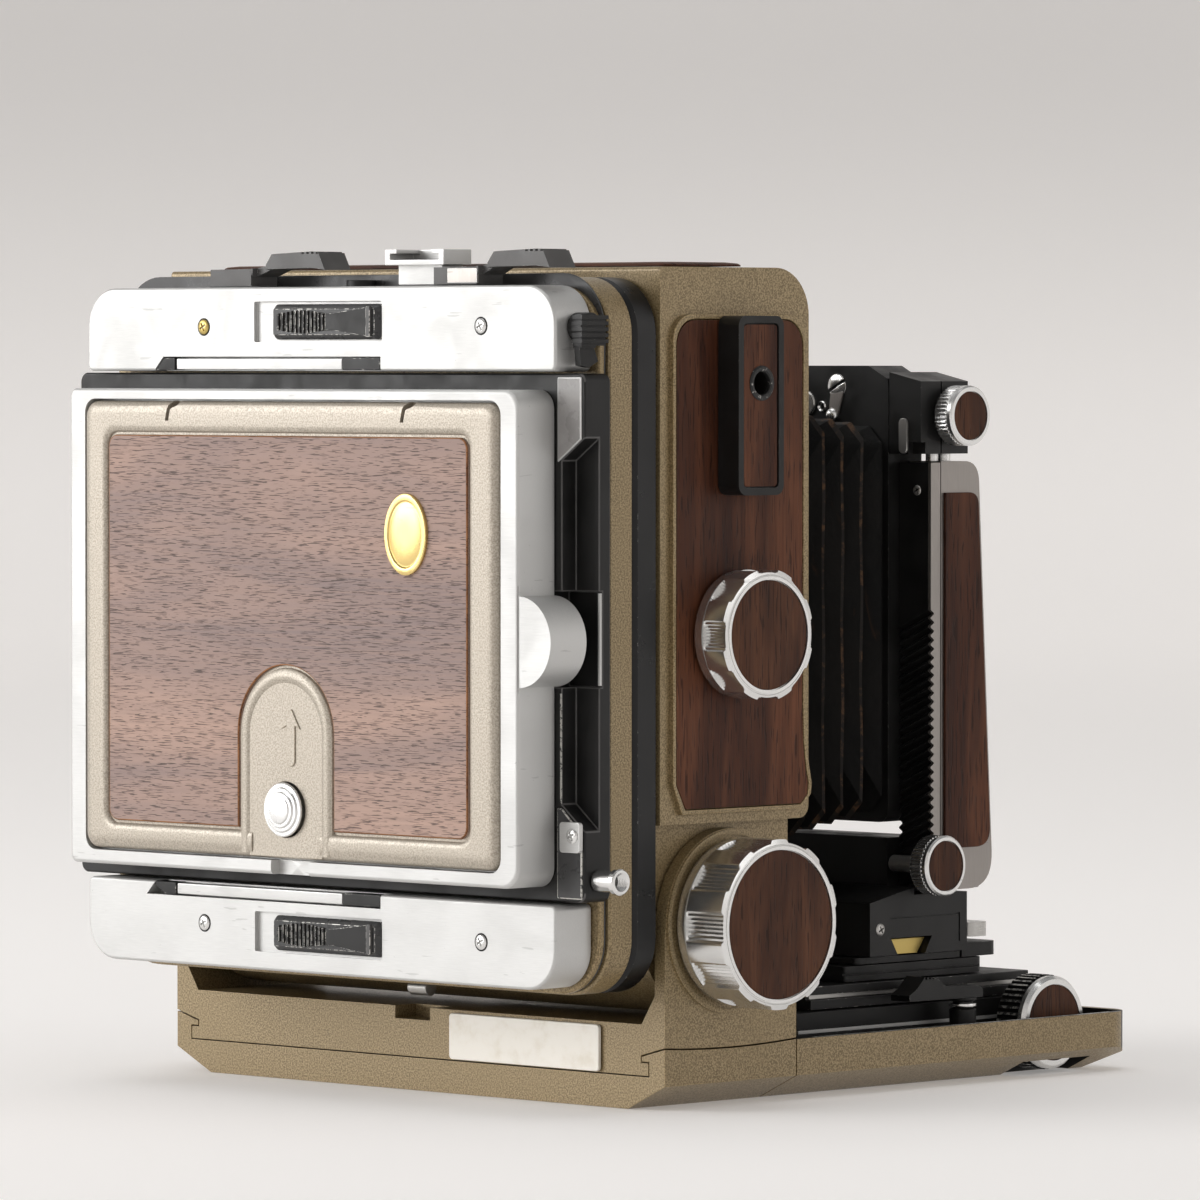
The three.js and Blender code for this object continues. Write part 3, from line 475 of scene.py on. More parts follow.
def bead(path, half, rise, axis, base):
    """Raised half-round bead along an open path of (u, v) points, standing on distance base."""
    section = [(-half, 0), (-half * 0.86, 0.55), (-half * 0.5, 0.92), (0, 1), (half * 0.5, 0.92),
               (half * 0.86, 0.55), (half, 0)]
    verts, faces = [], []
    for i, (u, v) in enumerate(path):
        before, after = path[max(i - 1, 0)], path[min(i + 1, len(path) - 1)]
        along = Vector((after[0] - before[0], after[1] - before[1])).normalized()
        for side, height in section:
            verts.append(placed(u - along.y * side, v + along.x * side, base + rise * height, axis))
    count = len(section)
    for i in range(len(path) - 1):
        for k in range(count):
            m = (k + 1) % count
            faces.append((i * count + k, i * count + m, (i + 1) * count + m, (i + 1) * count + k))
    faces.append(tuple(range(count)))
    faces.append(tuple((len(path) - 1) * count + k for k in reversed(range(count))))
    return verts, faces


def slab(points_at, axis, back, face, edge):
    """Plate whose front edge is rounded: points_at(inset) gives the outline."""
    way = 1 if face > back else -1
    rings = [(points_at(0), back), (points_at(0), face - way * edge)]
    for turn in (30, 60, 90):
        a = math.radians(turn)
        rings.append((points_at(edge * (1 - math.cos(a))), face - way * edge * (1 - math.sin(a))))
    return loft(rings, axis)


# ---------------------------------------------------------------- from solids to pieces
def raw_object(name, solid):
    verts, faces = solid
    mesh = bpy.data.meshes.new(name)
    mesh.from_pydata([tuple(c * MM for c in v) for v in verts], [], faces)
    work = bmesh.new()
    work.from_mesh(mesh)
    bmesh.ops.recalc_face_normals(work, faces=work.faces)
    work.to_mesh(mesh)
    work.free()
    made = bpy.data.objects.new(name, mesh)
    bpy.context.scene.collection.objects.link(made)
    return made


def settle(made):
    """Replaces a piece's mesh by the result of its modifiers."""
    bpy.context.view_layer.update()
    shape = made.evaluated_get(bpy.context.evaluated_depsgraph_get())
    mesh = bpy.data.meshes.new_from_object(shape)
    made.modifiers.clear()
    made.data = mesh


def cut_and_join(made, adds, cuts):
    helpers = []
    for solids, kind in ((adds, "UNION"), (cuts, "DIFFERENCE")):
        for solid in solids:
            helper = raw_object("helper", solid)
            helpers.append(helper)
            step = made.modifiers.new("cut", "BOOLEAN")
            step.operation = kind
            step.solver = "MANIFOLD"
            step.object = helper
    settle(made)
    for helper in helpers:
        bpy.data.objects.remove(helper)


def piece(name, solids, cuts, material, body, edge=0.3, worn=None, stands_for=(), smooth=32,
          rounds=2):
    """One visible piece: joined and cut, edges rounded, shaded and riding on its body."""
    solids = [solids] if isinstance(solids, tuple) else solids
    made = raw_object(name, solids[0])
    if len(solids) > 1 or cuts:
        cut_and_join(made, solids[1:], cuts)
    made.data.materials.clear()
    made.data.materials.append(material)
    made.data.materials.append(worn or material)
    if edge:
        step = made.modifiers.new("edge", "BEVEL")
        step.width = edge * MM
        step.segments = rounds
        step.limit_method = "ANGLE"
        step.angle_limit = math.radians(smooth)
        step.material = 1
        step.use_clamp_overlap = True
        settle(made)
    shade(made, smooth)
    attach(made, body)
    if stands_for:
        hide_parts(*([stands_for] if isinstance(stands_for, str) else stands_for))
    return made


def repaint(made, material, inside):
    """Gives the faces whose centre passes the test a second paint."""
    made.data.materials.append(material)
    index = len(made.data.materials) - 1
    for face in made.data.polygons:
        u, v, w = (c / MM for c in face.center)
        if inside(u, v, w, face.normal):
            face.material_index = index


def shade(made, angle):
    made.data.polygons.foreach_set("use_smooth", [True] * len(made.data.polygons))
    made.data.set_sharp_from_angle(angle=math.radians(angle))
    flatten = made.modifiers.new("flat_faces", "WEIGHTED_NORMAL")
    flatten.keep_sharp = True


SCREW_TURN = 28


def cross_screw(name, centre, axis, facing, radius, body, material=CHROME, slotted=False):
    """Domed screw head with a cross or a single slot. facing is +1 or -1 along the axis."""
    dome = [(0, -1.0), (radius, -1.0), (radius, 0.15), (radius * 0.86, 0.35), (radius * 0.5, 0.52),
            (0, 0.58)]
    head = turned([(r, facing * d) for r, d in dome], axis, centre, 32)
    cuts = []
    long, thin = radius * (1.2 if slotted else 0.62), radius * 0.13
    for half_u, half_v in ((long, thin),) if slotted else ((long, thin), (thin, long)):
        corner = [(-half_u, -half_v), (half_u, -half_v), (half_u, half_v), (-half_u, half_v)]
        a = math.radians(SCREW_TURN)
        base = {"x": centre[1:], "y": (centre[0], centre[2]), "z": centre[:2]}[axis]
        depth = centre["xyz".index(axis)]
        points = [(base[0] + u * math.cos(a) - v * math.sin(a),
                   base[1] + u * math.sin(a) + v * math.cos(a))
                  for u, v in corner]
        low, high = sorted((depth - facing * 0.1, depth + facing * 2))
        cuts.append(prism(points, axis, low, high))
    return piece(name, head, cuts, material, body, 0.08)


SIDES = (("right", 1), ("left", -1))


def side_block(side, x0, x1, y0, y1, z0, z1):
    return block(*sorted((side * x0, side * x1)), y0, y1, z0, z1)


def side_prism(points, side, x0, x1):
    return prism(points, "x", *sorted((side * x0, side * x1)))


def side_rod(side, x0, x1, y, z, radius, steps=40):
    return rod("x", *sorted((side * x0, side * x1)), (0, y, z), radius, steps)


# ---------------------------------------------------------------- base and yoke
BASE = Span("base_block")
YOKE = Span("yoke")
BODY = Span("camera_body")
TILT = joint_place("rear_tilt")
BACK = joint_place("back_turn")
SEAT_RADIUS = 79.9
LIP_RADIUS = 77.6
SEAT_FLOOR = 7.6
FOOT_TOP = 19.6
FLAT_HALF = 70
EDGE_RISE = 5.7
CLEAR = 0.3
SHAFT_HOLE = 3.4


def edge_outline(half, top):
    """Section of the base and the bed: flat below, sloping up at both sides, upright to the top."""
    return [(-half, EDGE_RISE), (-FLAT_HALF, 0), (FLAT_HALF, 0), (half, EDGE_RISE), (half, top),
            (-half, top)]


def make_base():
    seat = turned([(0, SEAT_FLOOR), (SEAT_RADIUS, SEAT_FLOOR), (SEAT_RADIUS, 11.1), (LIP_RADIUS, 11.1),
                   (LIP_RADIUS, 12.2), (90, 15.7), (90, 22), (0, 22)], "z", (0, 0, 0), 180)
    sockets = [Span("tripod_socket_large"), Span("tripod_socket_small")]
    holes = [rod("z", -1, 6.5, (s.x, s.y, 0), (s.x1 - s.x0) / 2 + CLEAR) for s in sockets]
    piece("base_shell", prism(edge_outline(BASE.x1, BASE.z1), "y", BASE.y0, BASE.y1), [seat, *holes],
          GOLD, "base",
          0.45, GOLD_EDGE, "base_block")
    for name, s in zip(("large", "small"), sockets):
        outer = (s.x1 - s.x0) / 2
        inner = {"large": 4.76, "small": 3.18}[name]
        groove = [tube("z", z, z + 0.35, (s.x, s.y, 0), inner + 0.35, inner - 0.5, 32)
                  for z in np.arange(0.8, 5.6, 1.1)]
        piece("socket_" + name, tube("z", s.z0, s.z1, (s.x, s.y, 0), outer, inner), groove, STEEL, "base",
              0.12, None, "tripod_socket_" + name)


def arm_outline():
    half, radius = YOKE.y1, YOKE.z1 - TILT[2]
    turns = [math.pi * i / 40 for i in range(41)]
    top = [(radius * math.cos(a), TILT[2] + radius * math.sin(a)) for a in turns]
    return [(-half, FOOT_TOP - 2), (half, FOOT_TOP - 2), (half, TILT[2] - 3), *top, (-half, TILT[2] - 3)]


def make_yoke():
    half, inner = YOKE.x1, YOKE.x1 - 3.2
    foot = turned([(0, SEAT_FLOOR + CLEAR), (SEAT_RADIUS - CLEAR, SEAT_FLOOR + CLEAR),
                   (SEAT_RADIUS - CLEAR, 10.8),
                   (LIP_RADIUS - CLEAR, 10.8), (LIP_RADIUS - CLEAR, 12.5), (90, 16.05), (90, FOOT_TOP),
                   (0, FOOT_TOP)], "z", (0, 0, 0), 180)
    outside = [block(-100, 100, YOKE.y1, 100, 0, 40), block(-100, 100, -100, YOKE.y0, 0, 40),
               block(half, 100, -30, 30, 0, 40), block(-100, -half, -30, 30, 0, 40)]
    clipped = raw_object("foot", foot)
    cut_and_join(clipped, [], outside)
    mesh = clipped.data
    solid = ([tuple(c / MM for c in v.co) for v in mesh.vertices],
             [tuple(p.vertices) for p in mesh.polygons])
    bpy.data.objects.remove(clipped)
    adds, cuts = [], [block(-6.3, 5.4, YOKE.y0 - 1, -15, 16.6, 30)]
    for _, side in SIDES:
        adds.append(side_prism(arm_outline(), side, inner, half))
        wedge = [(74.4, FOOT_TOP - 1), (inner + 0.5, FOOT_TOP - 1), (inner + 0.5, 26.2), (inner, 26.2),
                 (74.4, FOOT_TOP)]
        adds.append(prism(wedge if side > 0 else mirrored(wedge), "y", YOKE.y0, YOKE.y1))
        cuts.append(side_rod(side, 70, 90, TILT[1], TILT[2], SHAFT_HOLE))
    piece("yoke_casting", [solid, *adds], cuts, GOLD, "yoke", 0.4, GOLD_EDGE, "yoke")
    for label, side in SIDES:
        ring = turned([(21.2, 0), (21.2, 0.45), (20.6, 0.6), (19.9, 0.45), (19.9, 0)], "x",
                      (side * half - (0.0 if side > 0 else 0.55), TILT[1], TILT[2]), 96)
        piece("knob_boss_" + label, ring, [], GOLD, "yoke", 0)
    plate = Span("name_plate")

    def outline(inset):
        return plate.around("y", inset, 1.0)
    piece("blank_plate", slab(outline, "y", plate.y1, plate.y0 + 0.05, 0.25), [], CREAM, "yoke", 0,
          None, "name_plate")


make_base()
make_yoke()


# ---------------------------------------------------------------- camera body
SEAM = 65.3
HIP_RADIUS = 21.7
HUB_RADIUS = 15.8


def low_outline(radius):
    """Part of the body between the yoke arms, with its underside round about the tilt axis."""
    turns = [math.pi * (1 + i / 40) for i in range(41)]
    under = [(radius * math.cos(a), TILT[2] + radius * math.sin(a)) for a in turns]
    if radius < HIP_RADIUS:
        under = [(-HIP_RADIUS, TILT[2]), *under, (HIP_RADIUS, TILT[2])]
    return [(BODY.y0, SEAM + 5), (BODY.y0, TILT[2] + 6), *under, (BODY.y1 - 3, TILT[2] + 6),
            (BODY.y1 - 3, SEAM + 5)]


def make_body():
    wide = rounded(BODY.y0, SEAM, BODY.y1, BODY.z1, [0, 3, 11, 1], 14)
    cuts = [block(-72, 72, -19.5, 30, 33, 184), block(-62, 62, -30, -10, 46, 170),
            block(-4, 4, -30, -15.5, 15, 28)]
    cuts += [side_rod(side, 60, 90, TILT[1], TILT[2], SHAFT_HOLE) for _, side in SIDES]
    cuts.append(side_rod(1, 70, 90, 0, BACK[2], SHAFT_HOLE))
    shell = [prism(wide, "x", BODY.x0, BODY.x1), prism(low_outline(HIP_RADIUS), "x", -73.9, 73.9),
             prism(low_outline(HUB_RADIUS), "x", -78, 78)]
    piece("body_shell", shell, cuts, GOLD, "camera_body", 0.9, GOLD_EDGE, "camera_body",
          32, 3)
    piece("slot_roller", rod("x", -3.1, 3.1, (0, -19.2, 24.0), 1.9, 32), [], STEEL, "camera_body", 0.25)


def panel_outline(box, inset):
    """Side panel in (Y, Z): its lower front corner sweeps forward."""
    points = [(box.y0 + inset, box.z0 + 6), (box.y0 + 3 + inset, box.z0 + inset),
              (box.y1 - 1, box.z0 + inset)]
    flare = [(box.y1 + 1.6 - inset, box.z0 + 2.4), (box.y1 + 1.9 - inset, box.z0 + 5),
             (box.y1 + 1.0 - inset, box.z0 + 9), (box.y1 + 0.2 - inset, box.z0 + 15),
             (box.y1 - inset, box.z0 + 24)]
    top = [p for p in rounded(box.y0 + inset, box.z0, box.y1 - inset, box.z1 - inset, [0, 0, 6, 6])
           if p[1] > box.z0 + 1]
    return points + flare + top


def make_side_panels():
    for label, side in SIDES:
        box = Span("side_panel_" + label)
        inner, outer = BODY.x1, max(abs(box.x0), abs(box.x1))
        rim = side_prism(panel_outline(box, -0.9), side, inner - 0.5, outer - 0.1)
        hollow = side_prism(panel_outline(box, 0.15), side, inner + 0.05, outer + 2)
        piece("panel_rim_" + label, rim, [hollow], GOLD, "camera_body", 0.25, GOLD_EDGE)
        cuts = [side_rod(side, 70, 90, 0, BACK[2], 4)] if side > 0 else []
        piece("side_wood_" + label, side_prism(panel_outline(box, 0.4), side, inner + 0.1, outer - 0.25),
              cuts,
              ROSEWOOD, "camera_body", 0.25, None, "side_panel_" + label)
    top = Span("top_panel")
    crown = loft([(top.around("z", i, 3), top.z0 + h)
                  for i, h in ((0, 0), (0, 0.35), (0.5, 0.7), (2.5, 0.95), (6, 1.0))], "z")
    piece("top_wood", crown, [], TOP_WOOD, "camera_body", 0, None, "top_panel")


def make_strap_lugs():
    for label, side in SIDES:
        box = Span("strap_lug_" + label)
        inner, outer = sorted((abs(box.x0), abs(box.x1)))
        outline = box.around("x", 0, 2.5)
        hole_y, hole_z = 1.9, 165.8
        well = box.around("x", 1.7, 1.2)
        hole = side_rod(side, 80, 95, hole_y, hole_z, 2.9)
        piece("lug_frame_" + label, side_prism(outline, side, inner - 0.2, outer),
              [side_prism(well, side, outer - 1.0, outer + 2), hole], BLACK, "camera_body", 0.3,
              BLACK_EDGE,
              "strap_lug_" + label)
        inset = box.around("x", 2.0, 1.0)
        piece("lug_wood_" + label, side_prism(inset, side, outer - 1.05, outer - 0.25),
              [side_rod(side, 80, 95, hole_y, hole_z, 4.0)], ROSEWOOD, "camera_body", 0.12)
        eye = turned([(2.7, 0), (4.0, 0), (4.0, 1.0), (3.6, 1.3), (3.0, 1.3), (2.7, 1.0)], "x",
                     (side * (outer - 1.1) - (0 if side > 0 else 1.3), hole_y, hole_z), 40)
        piece("lug_eye_" + label, eye, [], BLACK_EDGE, "camera_body", 0)


make_body()
make_side_panels()
make_strap_lugs()


# ---------------------------------------------------------------- knobs
def scalloped(radius, count, depth, share=0.30, ribs=120, rib_depth=0.3):
    """Radius all round a finger grip: count round hollows with fine ribs in them."""
    def at(angle):
        place = (angle * count / (2 * math.pi) + 0.5) % 1.0 - 0.5
        if abs(place) >= share:
            return radius
        hollow = depth * (1 - (place / share) ** 2) ** 0.8
        return radius - hollow - rib_depth * (0.5 + 0.5 * math.cos(angle * ribs))
    return at


def knob_size(name):
    """Inner end, outer face and radius of a knob on the X axis."""
    box = Span(name)
    inner, outer = sorted((abs(box.x0), abs(box.x1)))
    return inner, outer, (box.z1 - box.z0) / 2


def faced_knob(name, side, centre, height, profile, steps, limit, stem, wood):
    """Bright turned knob about (Y, Z). stem is (radius, how far in), wood (profile, depth, steps)."""
    inner, outer, _ = knob_size(name)
    base = outer - height
    disc, depth, disc_steps = wood

    def about(points, x, count, edge=None):
        return turned([(r, side * d) for r, d in points], "x", (side * x, *centre), count, edge)
    piece("knob_" + name, about(profile, base, steps, limit), [], CHROME, name, 0, None, name,
          30)
    piece("stem_" + name, side_rod(side, inner, base + stem[1], *centre, stem[0]), [], STEEL, name, 0)
    piece("knob_wood_" + name, about(disc, outer - depth, disc_steps), [], KNOB_WOOD, name, 0)


def finger_knob(name, side, centre, count, wood_radius, height):
    """Large knob: base ring, grip with count finger hollows, bevelled rim and a wooden face."""
    radius = knob_size(name)[2]
    lip = wood_radius + 0.7
    bevel = 0.28 * (radius - lip - 0.4)
    profile = [(0, 0), (radius - 0.9, 0), (radius - 0.5, 0.4), (radius - 0.5, 2.5), (radius - 1.1, 2.7),
               (radius - 1.1, 3.0), (radius - 0.3, 3.15), (radius, 3.4), (radius, height - bevel - 0.5)]
    for i in range(9):
        profile.append((radius - (radius - lip - 0.4) * i / 8, height - bevel - 0.3 + bevel * i / 8))
    profile += [(lip + 0.25, height - 0.42), (lip, height - 0.3), (lip, height), (wood_radius, height),
                (wood_radius, height - 0.7), (0, height - 0.7)]
    grip = scalloped(radius, count, 0.72 * (radius - lip))

    def limit(angle, distance):
        return grip(angle) if 3.3 < abs(distance) < height - 0.45 else radius
    disc = [(0, 0), (wood_radius - 0.15, 0), (wood_radius - 0.15, 0.35), (wood_radius - 0.6, 0.6),
            (0, 0.62)]
    faced_knob(name, side, centre, height, profile, 480, limit, (3, 0.5), (disc, 0.75, 96))


KNURLS = 44


def knurled_knob(name, side, centre, wood_radius, height):
    """Small turned knob: fine ribs, a plain rim and a wooden face."""
    radius = knob_size(name)[2]
    profile = [(0, 0), (radius - 1.0, 0), (radius - 0.4, 0.3), (radius, 0.6), (radius, height - 2.0),
               (radius - 0.5, height - 1.8), (radius - 0.5, height - 1.5), (radius, height - 1.3),
               (radius, height - 0.4), (radius - 0.4, height), (wood_radius, height),
               (wood_radius, height - 0.6), (0, height - 0.6)]

    def limit(angle, distance):
        ribbed = 0.5 < abs(distance) < height - 1.95
        return radius - (0.34 * (0.5 + 0.5 * math.cos(angle * KNURLS)) if ribbed else 0.0)
    disc = [(0, 0), (wood_radius - 0.12, 0), (wood_radius - 0.12, 0.3), (wood_radius - 0.45, 0.5),
            (0, 0.52)]
    faced_knob(name, side, centre, height, profile, 352, limit, (2, 0.3), (disc, 0.65, 64))


def make_rear_knobs():
    for label, side in SIDES:
        finger_knob("tilt_knob_" + label, side, TILT[1:], 10, 17.2, 15.0)
    finger_knob("back_knob", 1, (0, BACK[2]), 8, 12.7, 10.2)


make_rear_knobs()


# ---------------------------------------------------------------- revolving back
WINDOW = 4
RING_CORNER = 13
BAR = Span("top_bar")


def ring_piece(name, outline_at, window, rings, material, worn, stands_for=(),
               body="turning_back"):
    """Ring lofted through (inset, Y) pairs, with its window cut through."""
    solid = loft([(outline_at(inset), y) for inset, y in rings], "y")
    ends = [y for _, y in rings]
    hole = prism(rounded(-window[0], window[1], window[0], window[2], WINDOW), "y", min(ends) - 2,
                 max(ends) + 2)
    return piece(name, solid, [hole], material, body, 0.15, worn, stands_for)


def make_rings():
    """From the front: black seal ring, gold turning band, black deck plate, gold back plate."""
    fixed, turning, plate = Span("fixed_ring"), Span("turning_ring"), Span("back_plate")

    def square(inset):
        return turning.around("y", inset, RING_CORNER - inset, 12)

    def plate_outline(top):
        def at(inset):
            return rounded(plate.x0 + inset, plate.z0 + inset, plate.x1 - inset, top - inset,
                           RING_CORNER, 12)
        return at
    wide = (63, 45, 171)
    ring_piece("light_seal_ring", square, wide,
               [(0.8, fixed.y1), (0, fixed.y1 - 0.8), (0, fixed.y0 + 1.2), (1.2, fixed.y0)],
               RING_BLACK, BLACK_EDGE, "fixed_ring", "camera_body")
    y0, y1 = turning.y0, turning.y1
    ring_piece("turning_band", square, wide, [(0.5, y1), (0, y1 - 0.5), (0, y0 + 0.5), (0.5, y0)],
               GOLD, GOLD_EDGE, "turning_ring")
    middle = plate.y1 - 0.45
    ring_piece("back_deck", plate_outline(plate.z1), (62.5, 50, 166), [(0, plate.y1), (0, middle)], DECK,
               DECK)
    ring_piece("back_casting", plate_outline(plate.z1 - 2.9), (62.5, 50, 166),
               [(0, middle - 0.02), (0, plate.y0 + 0.4), (0.4, plate.y0)], GOLD, GOLD_EDGE, "back_plate")
    piece("lock_button", rod("z", 185.5, 189.6, (5, BAR.y1 - 1.4, 0), 3.4, 40), [], BLACK,
          "turning_back", 0.3)


SPRING_CUT = (-57.8, 21.7)
CATCH_CUT = (-20.0, 22.2)


def make_bars():
    for label, top in (("upper", True), ("lower", False)):
        node = "top_bar" if top else "bottom_bar"
        box = Span(node)
        corners = [1.5, 1.5, 9, 9] if top else [9, 9, 1.5, 1.5]
        middle = Span(label + "_catch").z
        edge = box.z0 if top else box.z1
        inward = 1 if top else -1

        def outline(inset):
            return box.around("y", inset, [max(r - inset, 0.3) for r in corners], 10)
        cut_low, cut_high = sorted((edge - inward * 3, edge + inward * 3.3))
        spring = prism([(SPRING_CUT[0], cut_low), (SPRING_CUT[1], cut_low), (SPRING_CUT[1], cut_high),
                        (SPRING_CUT[0] + 6, cut_high)], "y", box.y0 - 1, box.y0 + 4)
        catch = prism(rounded(CATCH_CUT[0] - 0.5, middle - 4.7, CATCH_CUT[1], middle + 4.7, 0.5), "y",
                      box.y0 - 1, box.y0 + 1.1)
        piece(label + "_holder_bar", slab(outline, "y", box.y1, box.y0, 0.7), [spring, catch], SILVER,
              "turning_back", 0.18, SILVER_EDGE, node)
        tongue_low, tongue_high = sorted((edge + inward * 0.35, edge + inward * 2.9))
        piece(label + "_spring_tongue",
              block(-47.7, 8.4, box.y0 + 0.5, box.y0 + 3.8, tongue_low, tongue_high), [],
              SILVER, "turning_back", 0.25, SILVER_EDGE)
        piece(label + "_spring_block",
              block(8.8, 21.4, box.y0 + 0.2, box.y0 + 3.8, tongue_low - 0.1, tongue_high + 0.2),
              [], BLACK, "turning_back", 0.25, BLACK_EDGE)
        wedge = [(-57.2, edge + inward * 0.2), (-48.1, edge + inward * 0.2), (-48.1, edge + inward * 3.1),
                 (-51.6, edge + inward * 3.1)]
        piece(label + "_spring_wedge", prism(wedge, "y", box.y0 + 0.3, box.y0 + 3.8), [], BLACK,
              "turning_back",
              0.25, BLACK_EDGE)
        for x, tint in ((-37.7, BRASS if top else CHROME), (54.6, CHROME)):
            end, z = "a" if x < 0 else "b", middle - 1.1 * inward
            cross_screw(f"{label}_bar_screw_{end}", (x, box.y0, z), "y", -1, 1.75, "turning_back", tint)
            # Dark ring round each screw head: painted shade in the gap around it.
            seat = tube("y", box.y0 - 0.02, box.y0 + 0.3, (x, 0, z), 2.1, 1.7, 32)
            piece(f"{label}_screw_seat_{end}", seat, [], SHADE_AND_GRID_BLACK, "turning_back", 0)


def make_catches():
    """Sliding catches: a base with sloping sides, a ribbed saddle with a waist, and a finger bar."""
    for label in ("upper", "lower"):
        box = Span(label + "_catch")
        body = label + "_catch"
        foot, face, z = box.y1 - 0.1, box.y0 + 0.9, box.z

        def outline(inset):
            return box.around("y", inset, max(1.2 - inset, 0.4))
        base = loft([(outline(0), foot), (outline(0), foot - 0.7), (outline(1.1), face)], "y")
        piece(label + "_catch_base", base, [], DECK, body, 0.12, RIB_EDGE, label + "_catch")
        ribs, start, pitch = 12, box.x0 + 3.2, 1.35
        profile = [(start - 0.4, face + 0.4)]
        for i in range(ribs):
            x = start + i * pitch
            dip = box.y0 + 0.45 * math.sin(math.pi * i / (ribs - 1))
            profile += [(x, dip), (x + 0.55, dip), (x + 0.75, dip + 0.6), (x + 1.2, dip + 0.6)]
        waist = start + ribs * pitch
        end = box.x1 - 3.4
        profile += [(waist, box.y0 + 0.1), (waist + 1.9, box.y0 + 0.1), (end, face - 0.15),
                    (end, face + 0.4)]
        half = [(start - 2, 1.8), (start, 1.9), (start + 5, 2.6), (start + 9, 2.75), (waist - 1, 2.0),
                (waist + 2, 1.9),
                (end, 3.35), (end + 2, 3.5)]
        above, below = (prism([*[(x, z + way * h) for x, h in half], (end + 2, z + way * 9),
                               (start - 2, z + way * 9)],
                              "y", box.y0 - 1, face + 1) for way in (1, -1))
        piece(label + "_catch_saddle", prism(profile, "z", z - 3.6, z + 3.6), [above, below], BLACK,
              body, 0.1, RIB_EDGE)
        bar = block(end + 0.1, end + 1.5, box.y0 + 0.15, face + 0.3, z - 3.5, z + 3.5)
        piece(label + "_catch_bar", bar, [], GREY, body, 0.15, RIB_EDGE)


LEVER_HUBS = (("left", -30.2), ("right", 44.6))


def make_top_fittings():
    y0, y1 = -52.0, -43.6
    for label, hub in LEVER_HUBS:
        box = Span("top_lever_" + label)
        pad_from = box.x1 - 21.5
        side = [(hub - 7, box.z0), (hub + 7.2, box.z0), (hub + 7.2, box.z0 + 2.2),
                (pad_from + 1.5, box.z0 + 3.9),
                (box.x1 - 5, box.z0 + 4.1), (box.x1 - 0.6, box.z0 + 3.6), (box.x1 - 2.9, box.z1 - 0.1),
                (box.x1 - 5.5, box.z1), (pad_from + 3.0, box.z1 - 0.5), (pad_from + 1.0, box.z0 + 4.9),
                (hub + 6.4, box.z0 + 4.0), (hub - 7, box.z0 + 3.9)]
        grooves = [block(x, x + 0.8, y0 - 1, y1 + 1, box.z1 - 0.55, box.z1 + 1)
                   for x in np.arange(box.x1 - 8.4, box.x1 - 3.4, 1.6)]
        slit = block(hub + 6.9, hub + 7.3, y0 - 1, y1 + 1, box.z0 - 1, box.z0 + 2.6)
        narrow = [block(hub + 7.4, pad_from + 1.0, y0 - 1, y0 + 1.6, box.z0 - 1, box.z1 + 1)]
        piece("top_lever_arm_" + label, prism(side, "y", y0, y1), [*grooves, slit, *narrow],
              GREY, "top_lever_" + label, 0.3, GREY_EDGE, "top_lever_" + label)
    hub = Span("top_lever_right")
    piece("worn_hub_plate", block(42.0, 51.6, y0 - 0.02, y0 + 0.6, hub.z0 + 0.3, hub.z0 + 3.7), [], SATIN,
          "top_lever_right", 0.15, SILVER_EDGE)
    box = Span("accessory_shoe")
    foot = block(24, 38.4, box.y0 + 2, box.y1 - 0.5, box.z0, box.z0 + 4.8)
    plate = block(box.x0, box.x1, box.y0, box.y1, box.z0 + 4.5, box.z1)
    slot, mouth = (block(box.x0 + inset, box.x1 - inset, box.y0 - 3, box.y1 - 1.4, low, high)
                   for inset, low, high in ((1.7, 194, 195.4), (3.9, 194.5, 198)))
    piece("viewfinder_shoe", [foot, plate], [slot, mouth], SILVER, "turning_back", 0.2, SILVER_EDGE,
          "accessory_shoe")
    # Dark sheet on the floor of the shoe slot: painted shade.
    piece("shoe_slot_painted_shade", block(box.x0 + 1.9, box.x1 - 1.9, box.y0 + 1.0, box.y1 - 1.5, 193.95, 194.15),
          [], SHADE_AND_GRID_BLACK,
          "turning_back", 0)


def make_corner_lever():
    box = Span("corner_lever")
    axis = joint_place("corner_lever_turn")
    ribs = []
    for i in range(5):
        z = box.z1 - 1.6 - i * 1.35
        ribs += [block(box.x0 + 1.6, box.x1, box.y0, box.y0 + 8.6, z, z + 0.85),
                 block(box.x0 + 1.6, box.x1 - 0.5, box.y0 + 0.4, box.y0 + 8.2, z - 0.6, z + 0.1)]
    hook = [(box.y0 + 0.4, box.z0 + 4.6), (box.y0 + 0.9, box.z0 + 0.4), (box.y0 + 3.6, box.z0),
            (box.y0 + 6.4, box.z0 + 1.4), (box.y1 - 2.2, box.z0 + 5.0), (box.y1 - 2.4, box.z1 - 4)]
    hook_solid = prism(hook, "x", box.x0 + 2.0, box.x1 - 1.2)
    hub = rod("x", box.x0, box.x1 - 0.6, (0, axis[1], axis[2]), 3.3, 32)
    core = block(box.x0 + 1.6, box.x1 - 0.6, box.y0 + 0.5, box.y1 - 2.0, box.z0 + 4.4, box.z1 - 0.5)
    piece("corner_catch_lever", [core, hook_solid, hub, *ribs], [], BLACK, "corner_lever", 0.12,
          BLACK_EDGE,
          "corner_lever")


make_rings()
make_bars()
make_catches()
make_top_fittings()
make_corner_lever()


# ---------------------------------------------------------------- spring back
FRAME_HALF = 75.1


